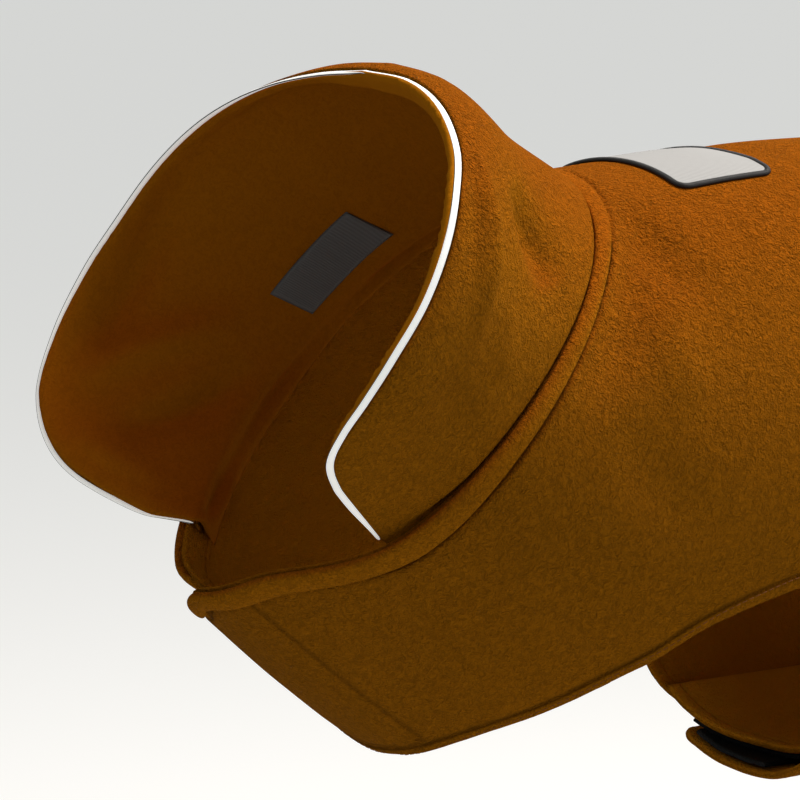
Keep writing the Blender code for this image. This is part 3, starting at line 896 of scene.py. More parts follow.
neck_roll = tube_mesh("neck_roll", np.moveaxis(roll_outer, 1, 0))
neck_roll.data.materials.append(roll_fleece)
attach(neck_roll, "root")
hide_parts("neck_band")
print("neck roll:", len(neck_roll.data.polygons), "faces")

# %% [markdown]
# ## The stand collar
#
# The collar stands on the neck seam and leans with the dog's neck. It has two layers: brushed fleece outside,
# a flatter lining inside. Its free edge is another table: where it is, and how far the cloth below it swells
# outward. The two layers are the same surface at two lifts.

# %% The collar's table
COLLAR_LEFT = (
    # name, angle of the neckline place that carries it, its edge (x, y, z), and the swell below the edge
    ("back", 0, -117, 0, 52, 12),
    ("nape", 18, -119, -38, 50, 10.5),
    ("crown", 33, -124.5, -70, 41, 8.5),
    ("temple", 47, -133, -95, 25, 7),
    ("ear", 60, -145, -112, 8, 6),
    ("cheek", 72, -156, -121, -13, 7),
    ("jaw", 84, -170, -125, -37, 7),
    ("throat", 95, -186, -124, -60, 6.5),
    ("throat_low", 105, -196, -119, -77, 5),
    ("corner_top", 114, -202, -111, -91, 3),
    ("corner", 121, -203, -103, -103, 1.5),
    ("front", 128, -195, -94, -115, 0),
)
COLLAR_RIGHT = (
    ("back", 0, -117, 0, 52, 12),
    ("nape", 18, -117, 38, 48.5, 13),
    ("crown", 34, -124, 66, 42, 12),
    ("temple", 49, -134, 88, 31.5, 10),
    ("ear", 64, -145.5, 104, 17.5, 8.5),
    ("cheek", 79, -158, 117, -1.5, 8),
    ("jaw", 94, -172, 127, -26, 7.5),
    ("throat", 107, -185, 133, -48, 6.5),
    ("throat_low", 118, -201, 133, -74.5, 5),
    ("corner_top", 126, -214, 127, -102, 3),
    ("corner", 132, -215, 115, -128, 1.5),
    ("front", 137, -199, 96, -148.5, 0),
)
COLLAR_END = len(COLLAR_LEFT) - 1
COLLAR_WALL, COLLAR_GAP = 2.0, 0.7  # mm: each layer, and the space between them
COLLAR_SEAT, COLLAR_CLEAR = 8.0, 2.4  # mm that it reaches behind the neckline, and its space to the panel
COLLAR_SINK = -(PANEL_WALL / 2 + COLLAR_CLEAR + COLLAR_WALL + COLLAR_GAP / 2)
SWELL_RISE = 2.4  # above 1, the cloth swells most near its edge
FRONT_PLACE, FRONT_HEIGHT = 12.0, 48.0  # mm that one place, and the whole height, measure at the front
print("rows in each of the collar's tables:", len(COLLAR_LEFT), len(COLLAR_RIGHT))


# %% The collar's surface
def collar_row(place):
    """The table's numbers at a place, from the side that the place is on."""
    left = (place < 0)[..., None]
    return np.where(left, between(COLLAR_LEFT, np.abs(place)), between(COLLAR_RIGHT, np.abs(place)))


def round_corner(place, height):
    """The place and height that a corner of the table moves to, so that the front corners are round."""
    radius = np.where(place > 0, 26.0, 5.0)
    front = np.clip(1 - (COLLAR_END - np.abs(place)) * FRONT_PLACE / radius, 0, None)
    top = np.clip(1 - (1 - height) * FRONT_HEIGHT / radius, 0, None)
    moved_front = front * np.sqrt(1 - np.minimum(top, 1.2) ** 2 / 2)
    moved_top = top * np.sqrt(1 - np.minimum(front, 1.2) ** 2 / 2)
    place = place - np.copysign((front - moved_front) * radius / FRONT_PLACE, place)
    return place, height - (top - moved_top) * radius / FRONT_HEIGHT


def collar_middle(place, height):
    """A point between the two layers. Places run from -11 at the left front, through 0 at the back, to 11 at
    the right front. Heights run from 0 at the neck seam to 1 at the free edge."""
    place, height = np.broadcast_arrays(np.asarray(place, float), np.asarray(height, float))
    place, height = round_corner(place, height)
    row = collar_row(place)
    angle = np.copysign(row[..., 0], place)
    above = np.maximum(height, 0)
    seam_station = np.where(height < 0, below_neckline(-height * COLLAR_SEAT, angle), neckline(angle))
    seam = lifted(seam_station, angle, np.full(angle.shape, COLLAR_SINK))
    bulge = row[..., 4] * np.sin(math.pi * np.minimum(above, 1) ** SWELL_RISE)
    swell = outward(np.zeros_like(angle), angle) * bulge[..., None]
    return seam + (row[..., 1:4] - seam) * above[..., None] + swell


def collar_out(place, height):
    """The unit normal of the collar, pointing away from the neck."""
    up = collar_middle(place, height + 0.01) - collar_middle(place, height - 0.01)
    aside = collar_middle(place + 0.05, height) - collar_middle(place - 0.05, height)
    return unit(np.cross(aside, up))


back_column = collar_middle(np.zeros(40), np.linspace(0, 1, 40))
print("collar height at the back, mm:", round(float(run_along(back_column)[-1])))

# %% The collar's grid and folds
collar_ends = np.array((0, 0.02, 0.05, 0.1, 0.16, 0.24, 0.33, 0.4, 0.46, 0.54, 0.65, 0.8, 1.0))
collar_places = np.concatenate(
    [
        -COLLAR_END + collar_ends[:-1],
        np.linspace(-COLLAR_END + 1, COLLAR_END - 1, 241),
        COLLAR_END - collar_ends[-2::-1],
    ]
)
COLLAR_ROWS = 30  # away from the free edge
TAIL_HEIGHTS = -np.array((1.0, 0.93, 0.84, 0.72, 0.58, 0.44, 0.31, 0.2, 0.1))  # below the neck seam
TAIL_ROWS = len(TAIL_HEIGHTS)
heights = []
for place in collar_places:
    fine = np.linspace(0, 1, 161)
    run = run_along(collar_middle(np.full(161, place), fine))
    edge = np.maximum(run[-1] - EDGE_COLUMNS, run[-1] * (1 - np.linspace(0, 0.7, len(EDGE_COLUMNS))))
    inner = np.linspace(0, edge[-1], COLLAR_ROWS + 1)
    above_seam = np.interp(np.concatenate([inner[:-1], edge[::-1]]), run, fine)
    heights.append(np.concatenate([TAIL_HEIGHTS, above_seam]))
heights = np.array(heights).T
places = np.broadcast_to(collar_places, heights.shape)
print("collar:", heights.shape, "points")

# %% Where the collar is creased
COLLAR_FOLDS = (
    # name, the places it runs through (place, height), half width, height
    ("left ridge", ((-2.9, 0.97), (-4.0, 0.83), (-5.0, 0.74), (-6.0, 0.66)), 5.5, 5.0),
    ("left dip by the edge", ((-3.2, 0.98), (-4.4, 0.92), (-5.6, 0.88)), 4.5, -1.0),
    ("left hollow", ((-3.1, 0.66), (-3.7, 0.44), (-4.3, 0.28)), 11.0, -8.0),
    ("left seam ridge", ((-2.4, 0.05), (-3.8, 0.09), (-5.2, 0.10)), 7, 1.4),
    ("left cheek", ((-5.0, 0.52), (-5.7, 0.42), (-6.3, 0.34)), 8, 1.5),
    ("left jaw", ((-6.6, 0.7), (-7.2, 0.45), (-7.5, 0.2)), 9, -1.4),
    ("left throat", ((-8.1, 0.25), (-8.8, 0.5), (-9.2, 0.8)), 8, 1.1),
    ("back hollow", ((-0.9, 0.12), (0.2, 0.3), (1.2, 0.2)), 12, -2.2),
    ("right hollow", ((2.4, 0.2), (2.8, 0.5), (3.0, 0.8)), 12, -2.0),
    ("right valley", ((4.7, 0.86), (6.2, 0.76), (7.7, 0.76)), 8, 5.5),
    ("right ridge", ((8.4, 0.80), (7.1, 0.56), (5.6, 0.28)), 9, -4.5),
    ("right lower hollow", ((8.8, 0.52), (7.9, 0.32), (7.0, 0.18), (6.0, 0.10)), 9, 6.5),
    ("right throat", ((9.4, 0.86), (9.4, 0.55), (9.8, 0.2)), 9, -3.0),
)
collar_grid = collar_middle(places, heights)
collar_lines = fold_lines(COLLAR_FOLDS, collar_middle)
away_from_edges = ramp(heights, -0.05, 0.15) * (1 - ramp(heights, 0.86, 1.0))
collar_raised = folded(collar_grid, collar_lines) * away_from_edges
collar_normal = collar_out(places, heights)
collar_edges = [collar_grid[-1], collar_grid[TAIL_ROWS:, 0], collar_grid[TAIL_ROWS:, -1]]
collar_edge = distance_to(collar_grid, *collar_edges)
collar_all_edges = distance_to(
    collar_grid, *collar_edges, collar_grid[0], collar_grid[:, 0], collar_grid[:, -1]
)
print("collar's area in square metres:", round(area_of(collar_grid), 3))

# %% What its two layers share
# The outer layer billows over the neck seam. The lining reaches a little past it, and along the left half of
# the mouth its edge is turned back into a fat rim. Below the seam each layer has a tail that lies against the
# inside of the panel, where the lining thins out, so that it runs into the panel without a step.
RIM_WIDTH, LINING_BEYOND = 7.0, 1.9  # mm

seam_to_edge = np.array([run_along(column)[-1] for column in np.moveaxis(collar_grid[TAIL_ROWS:], 1, 0)])
from_top = (1 - heights) * seam_to_edge
from_front = (COLLAR_END - np.abs(places)) * FRONT_PLACE
billow = 5.5 * ramp(heights, 0.0, 0.085) * (1 - ramp(heights, 0.12, 0.55)) * ramp(from_front, 0, 40)
rim_share = ramp(-places, -1.8, 0.6) * (1 - 0.45 * ramp(-places, 6.0, 9.0)) * (1 - ramp(-places, 9.0, 10.6))
beyond_top = (LINING_BEYOND + 3.0 * rim_share) / seam_to_edge
beyond_top = beyond_top * (1 - ramp(from_top, 0, 14)) * ramp(heights, 0, 0.3)
beyond_front = np.copysign(LINING_BEYOND / FRONT_PLACE * (1 - ramp(from_front, 0, 14)), places)
lining_grid = collar_middle(places + beyond_front, heights + beyond_top)
collar_angles = np.copysign(collar_row(places)[..., 0], places)
half = COLLAR_WALL / 2 * round_edge(collar_all_edges, 1.8)
layer_stand = COLLAR_GAP / 2 + COLLAR_WALL / 2
print("the outer layer billows by, mm:", round(float(billow.max()), 1))


# %% A layer with its tail
def with_tail(base, length, high, low):
    """The same grid with its rows below the seam laid along the panel's inside, from one lift to another."""
    below, angle = -heights[:TAIL_ROWS], collar_angles[:TAIL_ROWS]
    stations = below_neckline(below * length, angle)
    lift = high + (low - high) * ramp(below, 0, 1)
    lift = lift + folded(lifted(stations, angle, lift), panel_lines) * ramp(below, 0, 0.4)
    return np.concatenate([lifted(stations, angle, lift), base[TAIL_ROWS:]])


def collar_layer(name, base, side, half, proud, look):
    """One layer round its middle surface. side is 1 where its free side faces out, and -1 where it faces the
    neck. proud is how much rims and ridges thicken it on that side."""
    normal = collar_normal.copy()
    normal[:TAIL_ROWS] = outward(below_neckline(-heights * 6, collar_angles), collar_angles)[:TAIL_ROWS]
    marks = {
        "edge": collar_edge + 50 * (1 - ramp(rim_share, 0.1, 0.4)),  # no groove where there is no rim
        "rim": ramp(rim_share, 0, 0.5) * (1 - ramp(collar_edge, RIM_WIDTH - 1.6, RIM_WIDTH + 1.4)),
    }
    free_side = base + normal * (side * (half + proud))[..., None]
    made = cloth_mesh(name, free_side, base - normal * (side * half)[..., None], marks)
    made.data.materials.append(look)
    return made


print("rows of the tail:", TAIL_ROWS)

# %% The outer layer
outer_base = collar_grid + collar_normal * (layer_stand + collar_raised + billow)[..., None]
outer_base = with_tail(outer_base, 6.0, COLLAR_SINK + layer_stand, -(PANEL_WALL / 2 + 1.4))
collar_outer = collar_layer("collar_outer_layer", outer_base, 1, half, np.zeros(half.shape), collar_fleece)
print("outer layer:", len(collar_outer.data.polygons), "faces")

# %% The lining
# Its edge makes a fat round rim beside the piping, which fades out past the back. Its seam to the panel, down
# on the tail, shows as a low ridge with a dip above it.
rim = (0.4 + 5.6 * rim_share) * round_edge(collar_edge, 3.4) * (1 - ramp(collar_edge, 5.0, 8.4))
stitched = 0.5 * hump(collar_edge, HEM_STITCHES + 1.0, 1.0) * rim_share
along_column = np.where(heights < 0, heights * 18, heights * seam_to_edge)
ridge = 4.2 * hump(along_column, -12.5, 3.0) - 2.0 * hump(along_column, -5.0, 3.0)
ridge = ridge * ramp(from_front, 2, 14) * (1 + 0.3 * np.sin(places * 2.3))
lining_base = lining_grid - collar_normal * (layer_stand - collar_raised)[..., None]
lining_base = with_tail(lining_base, 18.0, COLLAR_SINK - layer_stand, -(PANEL_WALL / 2 + 0.5))
thin = half * (1 - 0.65 * ramp(-heights, 0.4, 1.0))
collar_inner = collar_layer("collar_lining", lining_base, -1, thin, rim - stitched + ridge, lining_fleece)
for layer, solid, finish in (
    (collar_outer, "collar_outer", "fleece_outer"),
    (collar_inner, "collar_inner", "fleece_inner"),
):
    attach(layer, "root")
    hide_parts(solid)
print("collar layers:", len(collar_outer.data.polygons), len(collar_inner.data.polygons), "faces")

# %% [markdown]
# ## The reflective piping
#
# A flat reflective tape is sewn between the layers round the free edge. It is covered with glass beads that
# throw light straight back, so it looks white and brighter than any cloth beside it, with thin dark edges. A
# mirror finish would show the room instead, so it gets white with a fine grain of beads, and a faint painted
# glow that stands in for the light thrown back.

# %% Piping
PIPING_WALL, PIPING_WIDTH = 1.2, 3.6  # mm
PIPING_BEYOND, PIPING_OUT = 1.9, 1.2  # mm from the collar's edge to the middle of the piping

rise, round_mouth = np.linspace(0.03, 0.96, 24), np.linspace(-COLLAR_END, COLLAR_END, 361)
front = np.full(rise.shape, COLLAR_END)
path_places = np.concatenate([-front, round_mouth, front])
path_heights = np.concatenate([rise, np.ones(round_mouth.shape), rise[::-1]])
edge_line = collar_middle(path_places, path_heights)
out = collar_out(path_places, np.minimum(path_heights, 0.98))
ahead = np.concatenate([edge_line[1:], edge_line[-1:]]) - np.concatenate([edge_line[:1], edge_line[:-1]])
away = unit(np.cross(out, ahead))
for _ in range(12):  # it turns the collar's corners gently
    out[1:-1] = unit(out[:-2] + 2 * out[1:-1] + out[2:])
    away[1:-1] = unit(away[:-2] + 2 * away[1:-1] + away[2:])
turn = np.linspace(0, 2 * math.pi, 17)[:-1]
across = np.sign(np.cos(turn)) * np.abs(np.cos(turn)) ** 0.7 * PIPING_WIDTH / 2
thick = np.sin(turn) * PIPING_WALL / 2
run = run_along(edge_line)
ends = round_edge(np.minimum(run, run[-1] - run), 1.2)[:, None, None]
slim = np.where(np.abs(path_places) > COLLAR_END - 0.01, 0.45 + 0.55 * ramp(path_heights, 0.0, 0.75), 1.0)
slim = (slim * (1 - 0.35 * ramp(path_places, 6.5, 9.5)))[:, None, None]
piping_rings = (
    edge_line[:, None]
    + out[:, None] * (PIPING_OUT + thick[None, :, None] * (0.2 + 0.8 * ends))
    + away[:, None] * (PIPING_BEYOND * slim + across[None, :, None] * (0.5 + 0.5 * ends) * slim)
)
from_middle = np.broadcast_to(np.abs(across) / (PIPING_WIDTH / 2), piping_rings.shape[:2])
piping = tube_mesh("reflective_piping", piping_rings, {"across": from_middle})
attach(piping, "root")
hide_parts("collar_piping")
print("piping, mm long:", round(float(run[-1])))

# %% Piping finish
piping_white, tree, shader = new_material("piping_white")
dark_edge = share_between(tree, marked(tree, "across"), 0.86, 0.96)
beads = node(tree, "ShaderNodeTexVoronoi", None, {"Scale": 2200.0})
tree.links.new(own_place(tree), beads.inputs["Vector"])
white = mix(tree, beads.outputs["Distance"], (0.92, 0.92, 0.90, 1), (0.80, 0.80, 0.79, 1))
edged_white = mix(tree, dark_edge, white, (0.02, 0.018, 0.015, 1))
tree.links.new(edged_white, shader.inputs["Base Color"])
# Painted light: the white of the tape glows a little, for the light that its beads throw back.
painted_glow = mix(tree, dark_edge, (0.62, 0.62, 0.60, 1), (0, 0, 0, 1))
tree.links.new(painted_glow, shader.inputs["Emission Color"])
shader.inputs["Emission Strength"].default_value = 0.6
tree.links.new(bump(tree, beads.outputs["Distance"], 0.3, 0.0002), shader.inputs["Normal"])
shader.inputs["Roughness"].default_value = 0.4
piping.data.materials.append(piping_white)
print("piping finish:", piping_white.name)

# %% [markdown]
# ## The woven label
#
# A size label is sewn inside the collar, low on the right. It is a stiff woven tape, left bare, with a turned
# end at each side. It follows the lining, so it is one more grid of places on the collar.

# %% Label
LABEL_LOW_SIDE = (2.97, 0.08), (4.82, 0.05)  # place and height of its ends
LABEL_HIGH_SIDE = (3.2, 0.285), (5.05, 0.25)
LABEL_WALL, LABEL_CLEAR = 0.64, 0.55  # mm: its thickness, and from the lining to its middle

label_sides = np.linspace(*LABEL_LOW_SIDE, 41), np.linspace(*LABEL_HIGH_SIDE, 41)
label_places, label_heights = np.moveaxis(np.linspace(*label_sides, 17), 2, 0)
label_grid = collar_middle(label_places, label_heights)
label_lines = [label_grid[0], label_grid[-1], label_grid[:, 0], label_grid[:, -1]]
label_edge = distance_to(label_grid, *label_lines)
label_raised = folded(label_grid, collar_lines) - (COLLAR_GAP / 2 + COLLAR_WALL + LABEL_CLEAR)
label_normal = collar_out(label_places, label_heights)
label_bend = 0.25 * np.sin(label_places * 4.0)
label_base = label_grid + label_normal * (label_raised + label_bend)[..., None]
label_half = label_normal * (LABEL_WALL / 2 * round_edge(label_edge, 0.5))[..., None]
label = cloth_mesh("woven_label", label_base + label_half, label_base - label_half)
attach(label, "root")
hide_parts("size_label")
print("label, mm:", [round(float(run_along(side)[-1])) for side in (label_grid[0], label_grid[:, 0])])

# %% [markdown]
# ## The patch on the back
#
# Between the shoulders the coat carries a rounded patch: a pale twill field, left bare, with a thick black
# border of satin stitch. The field is a grid of places found on the back; the border is a low round bead
# carried round it.

# %% Places on the back
def on_back(x, y, lift):
    """Points of the back above (x, y), lifted off the torso."""
    x, y = np.broadcast_arrays(np.asarray(x, float), np.asarray(y, float))
    station, angle = np.ones(x.shape), np.zeros(x.shape)
    for _ in range(14):
        here = torso(station, angle)
        along = (torso(station + 0.01, angle) - here)[..., 0] / 0.01
        around = (torso(station, angle + 0.1) - here)[..., 1] / 0.1
        station, angle = station + (x - here[..., 0]) / along, angle + (y - here[..., 1]) / around
    raised = folded(lifted(station, angle, np.zeros(x.shape)), panel_lines)
    return lifted(station, angle, raised + lift)


PATCH_LENGTH, PATCH_WIDTH, PATCH_RADIUS = 56.0, 96.0, 7.0  # mm, with the border
PATCH_FRONT, PATCH_BORDER = 22.0, 3.0  # mm: its distance along the back, and the border's width
PATCH_LIFT = PANEL_WALL / 2 + 0.3


def patch_outline(inset, gap):
    """The patch's outline this far inside its edge, as points (x, y) this far apart."""
    length, width, radius = PATCH_LENGTH - 2 * inset, PATCH_WIDTH - 2 * inset, PATCH_RADIUS - inset
    points = []
    for side_x, side_y, start in ((1, 1, 0), (-1, 1, 90), (-1, -1, 180), (1, -1, 270)):
        for turn in np.radians(np.linspace(start, start + 90, 13)):
            x = side_x * (length / 2 - radius) + radius * math.cos(turn)
            y = side_y * (width / 2 - radius) + radius * math.sin(turn)
            points.append((x, y, 0))
    points.append(points[0])
    points = even(np.array(points), gap)
    return points[:, :2] + (PATCH_FRONT + PATCH_LENGTH / 2, 0)


print("patch outline, mm:", round(float(run_along(patch_outline(0, 1.0))[-1])))

# %% Field
FIELD_WALL, FIELD_INSET = 1.0, PATCH_BORDER - 1.0  # mm: it reaches under the border

inner_length, inner_width = PATCH_LENGTH - 2 * FIELD_INSET, PATCH_WIDTH - 2 * FIELD_INSET
field_radius = PATCH_RADIUS - FIELD_INSET
shares = np.sin(np.linspace(-1, 1, 45) * math.pi / 2)
field_x = shares * inner_length / 2
corner = np.maximum(np.abs(field_x) - (inner_length / 2 - field_radius), 0)
field_half = inner_width / 2 - field_radius + np.sqrt(np.maximum(field_radius**2 - corner**2, 0))
field_y = np.linspace(-1, 1, 61)[None] * field_half[:, None]
field_x = np.broadcast_to(field_x[:, None], field_y.shape) + PATCH_FRONT + PATCH_LENGTH / 2
field_top = on_back(field_x, field_y, PATCH_LIFT + FIELD_WALL)
field_bottom = on_back(field_x, field_y, PATCH_LIFT)
field_bottom[0], field_bottom[-1] = field_top[0], field_top[-1]
field_bottom[:, 0], field_bottom[:, -1] = field_top[:, 0], field_top[:, -1]
patch_field = cloth_mesh("patch_field", field_top, field_bottom)
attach(patch_field, "root")
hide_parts("back_patch")
print("patch field:", len(patch_field.data.polygons), "faces")

# %% Border
BEAD_STEP = 1.2  # mm

middle_line = patch_outline(PATCH_BORDER / 2, BEAD_STEP)[:-1]
ahead = np.roll(middle_line, -1, axis=0) - np.roll(middle_line, 1, axis=0)
aside = unit(np.stack([ahead[:, 1], -ahead[:, 0]], axis=1))
turn = np.linspace(0, 2 * math.pi, 15)[:-1]
bead_across = np.cos(turn) * (PATCH_BORDER / 2 + 0.1)
bead_up = np.where(np.sin(turn) > 0, np.sin(turn) * 1.5, np.sin(turn) * 0.2) + 0.25
bead_lines = [
    on_back(middle_line[:, 0] + aside[:, 0] * apart, middle_line[:, 1] + aside[:, 1] * apart, PATCH_LIFT + up)
    for apart, up in zip(bead_across, bead_up)
]
rings = np.stack(bead_lines, axis=1)
rings = np.concatenate([rings, rings[:1]])
along_border = run_along(middle_line)
along_border = np.append(along_border, along_border[-1] + BEAD_STEP)
along_border = np.broadcast_to(along_border[:, None], rings.shape[:2])
patch_border = tube_mesh("patch_binding", rings, {"along": along_border})

# The border is one ring, so the two caps of its tube come off and its ends are joined.
bead = bmesh.new()
bead.from_mesh(patch_border.data)
caps = [face for face in bead.faces if len(face.verts) > 4]
bmesh.ops.delete(bead, geom=caps, context="FACES_ONLY")
bmesh.ops.remove_doubles(bead, verts=bead.verts, dist=1e-6)
bead.to_mesh(patch_border.data)
bead.free()
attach(patch_border, "root")
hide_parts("patch_border")
print("patch border:", len(patch_border.data.polygons), "faces")

# %% [markdown]
# ## Woven finishes
#
# The patch, the label and the sewing thread are woven or twisted from plain yarn. One shared effect draws
# slanting rows of threads and a little unevenness, at the thread's own size. The patch's border is satin:
# close strands side by side round the ring, so its sheen comes in thin lines, from their relief and from a
# painted highlight along each strand.

# %% Woven threads, and what is made of them
WAVE_SCALE = 160.0  # the waves' scale for a thread of 1 mm

weave, given, result = group(
    "woven_threads",
    [
        ("Place", VECTOR, None),
        ("Thread mm", NUMBER, 0.6),
        ("Colour", COLOUR, (0.5, 0.5, 0.5, 1)),
        ("Shade", COLOUR, (0.3, 0.3, 0.3, 1)),
    ],
    [("Color", COLOUR), ("Normal", VECTOR)],
)
scale = maths(weave, "DIVIDE", WAVE_SCALE, given.outputs["Thread mm"])
first = node(weave, "ShaderNodeTexWave", {"bands_direction": "DIAGONAL"}, {"Distortion": 0.6, "Detail": 1.0})
second = node(weave, "ShaderNodeTexNoise", None, {"Detail": 2.0})
weave.links.new(given.outputs["Place"], first.inputs["Vector"])
weave.links.new(given.outputs["Place"], second.inputs["Vector"])
weave.links.new(scale, first.inputs["Scale"])
weave.links.new(maths(weave, "MULTIPLY", scale, 1.5), second.inputs["Scale"])
rows_of_threads = maths(weave, "MULTIPLY", first.outputs["Fac"], 0.7)
unevenness = maths(weave, "MULTIPLY", second.outputs["Fac"], 0.3)
threads = maths(weave, "ADD", rows_of_threads, unevenness)
thread_colour = mix(weave, threads, given.outputs["Shade"], given.outputs["Colour"])
weave.links.new(thread_colour, result.inputs["Color"])
weave.links.new(bump(weave, threads, 0.6, 0.0003), result.inputs["Normal"])


def woven(name, thread, colour, shade, roughness, specular=0.5):
    """A woven material: its thread in millimetres, its colour and the shade between the threads."""
    made, tree, shader = new_material(name)
    cloth = node(tree, "ShaderNodeGroup", {"node_tree": weave})
    cloth.inputs["Thread mm"].default_value = thread
    cloth.inputs["Colour"].default_value = (*colour, 1)
    cloth.inputs["Shade"].default_value = (*shade, 1)
    tree.links.new(own_place(tree), cloth.inputs["Place"])
    tree.links.new(cloth.outputs["Color"], shader.inputs["Base Color"])
    tree.links.new(cloth.outputs["Normal"], shader.inputs["Normal"])
    shader.inputs["Roughness"].default_value = roughness
    shader.inputs["Specular IOR Level"].default_value = specular
    return made


patch_twill = woven("patch_twill", 0.7, (0.37, 0.37, 0.37), (0.31, 0.31, 0.31), 0.7, specular=0.12)
label_weave = woven("label_weave", 0.3, (0.136, 0.136, 0.140), (0.116, 0.116, 0.120), 0.55)
thread = woven("orange_thread", 0.3, (0.30, 0.085, 0.003), (0.20, 0.057, 0.002), 0.7)
patch_field.data.materials.append(patch_twill)
label.data.materials.append(label_weave)
print("woven finishes:", patch_twill.name, label_weave.name, thread.name)

# %% Satin of the border
SATIN_STRAND = 0.5  # mm

satin, tree, shader = new_material("border_satin")
strand = maths(tree, "SINE", maths(tree, "MULTIPLY", marked(tree, "along"), 2 * math.pi / SATIN_STRAND))
tree.links.new(bump(tree, strand, 0.7, 0.0003), shader.inputs["Normal"])
# Painted highlight: each strand is painted a little lighter along its crest.
painted_strand_sheen = share_between(tree, strand, -1.0, 1.0, "LINEAR")
black = mix(tree, painted_strand_sheen, (0.006, 0.006, 0.007, 1), (0.014, 0.014, 0.016, 1))
tree.links.new(black, shader.inputs["Base Color"])
shader.inputs["Roughness"].default_value = 0.55
patch_border.data.materials.append(satin)
print("the border is", satin.name)

# %% [markdown]
# ## The belly straps
#
# Two straps, each the fleece folded double, leave the wings and close one over the other under the belly.
# They are grids of places like the rest, with rounded corners at their free ends. The angles go on past 180
# up the dog's left.

# %% Where the straps run
STRAP_WALL, BELLY_TAPE_WALL = 4.0, 2.4  # mm
SEWN_ON, LAID_ON = 0.3, 1.5  # mm of air between pieces that are sewn, or only lie, on each other
STRAP_REAR, STRAP_LEFT_FRONT = 6.04, 4.62  # stations of their rear edges and of the left one's front edge
STRAP_INSIDE = -(PANEL_WALL / 2 + LAID_ON + STRAP_WALL / 2)
STRAP_START = PANEL_WALL / 2 + SEWN_ON + STRAP_WALL / 2
STRAP_OVER = STRAP_INSIDE + STRAP_WALL + 2 * BELLY_TAPE_WALL + 2 * SEWN_ON + LAID_ON


def sag(angle):
    """How far the straps hang down between the wings."""
    return 6.0 * ramp(angle, 176, 204) * (1 - ramp(angle, 208, 224))


def right_front(angle):
    """The station of the right strap's front edge, which slants back towards its free end."""
    return 4.58 + 0.21 * ramp(angle, 145, 190)


def left_front(angle):
    """The station of the left strap's front edge, which is straight."""
    return np.full(np.shape(angle), STRAP_LEFT_FRONT)


def right_lift(angle):
    """The right strap leaves from inside its wing."""
    return STRAP_INSIDE + sag(angle)


def left_lift(angle):
    """The left strap is sewn on the outside of its wing and closes over the right one."""
    over = (STRAP_OVER - STRAP_START) * (1 - ramp(angle, 190, 206))
    return STRAP_START + over + sag(angle) + 2.0 * (1 - ramp(angle, 156, 167))


print("from strap to strap, mm:", round(STRAP_OVER - STRAP_INSIDE, 1))

# %% Straps
strap_fleece = fleece(
    "strap_fleece",
    ROOT,
    TIP,
    clump=2.6,
    fibre=0.8,
    depth=7.0,
    grooves=[HEM_GROOVE],
    # Painted light: the straps' insides are painted lighter than their outsides, as light under the belly
    # would show it.
    second_colour_and_painted_light=("lining", (0.80, 0.31, 0.012)),
)
STRAP_COLUMNS = (0, 0.006, 0.016, 0.03, 0.05, 0.075, 0.10, 0.125, 0.145, 0.165, 0.19, 0.24, 0.3)
STRAP_COLUMNS = np.array(STRAP_COLUMNS) / 1.42  # its width, in stations
STRAP_TIP = np.array((0, 0.12, 0.35, 0.7, 1.1, 1.6, 2.2, 2.9, 3.6, 4.3, 5.2))  # degrees from the free end


def strap(name, start, end, front_of, lift_of, solid):
    """A strap from the angle where it leaves its wing to the angle of its free end."""
    way = math.copysign(1, end - start)
    strap_angles = np.concatenate([np.linspace(start, end - way * 6.0, 44), end - way * STRAP_TIP[::-1]])
    into_corner = np.clip(1 - np.abs(strap_angles - end) / 5.0, 0, 1)
    narrow = 0.10 * (1 - np.sqrt(1 - into_corner**2))
    front, rear = front_of(strap_angles) + narrow, STRAP_REAR - narrow
    between_hems = np.linspace(STRAP_COLUMNS[-1], 1 - STRAP_COLUMNS[-1], 14)[1:-1]
    shares = np.concatenate([STRAP_COLUMNS, between_hems, 1 - STRAP_COLUMNS[::-1]])
    across = front[None] + (rear - front)[None] * shares[:, None]
    around = np.broadcast_to(strap_angles, across.shape)
    base = lifted(across, around, lift_of(around))
    normal = outward(across, around)
    edge = distance_to(base, base[0], base[-1], base[:, -1])
    ends = distance_to(base, base[:, 0])
    half = STRAP_WALL / 2 * round_edge(edge, 2.6) * round_edge(ends, 0.8)
    dent = 0.45 * hump(edge, HEM_STITCHES, 1.1)
    wave = 0.5 * np.sin(around / 7.0 + across * 3.0) * ramp(edge, 6, 16)
    outer = base + normal * (half - dent + wave)[..., None]
    inner = base - normal * (half - dent - wave)[..., None]
    for skin in (outer, inner):
        skin[:, 0], skin[:, -1], skin[0], skin[-1] = base[:, 0], base[:, -1], base[0], base[-1]
    piece = cloth_mesh(name, outer, inner, {"edge": edge})
    piece.data.materials.append(strap_fleece)
    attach(piece, "root")
    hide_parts(solid)
    return piece, base


strap_right, strap_right_base = strap("strap_right", 149, 202, right_front, right_lift, "belly_strap_right")
strap_left, strap_left_base = strap("strap_left", 225, 158, left_front, left_lift, "belly_strap_left")
strap_middles = [base[len(base) // 2] for base in (strap_right_base, strap_left_base)]
print("straps, mm long:", [round(float(run_along(middle)[-1])) for middle in strap_middles])

# %% [markdown]
# ## Hook-and-loop tapes
#
# Each closure has a fuzzy loop tape on one side and a hook tape on the other. Both are black. Their pile is
# too fine to model, so a bump does it: tufts for the loops, and smaller, shinier ones for the hooks.

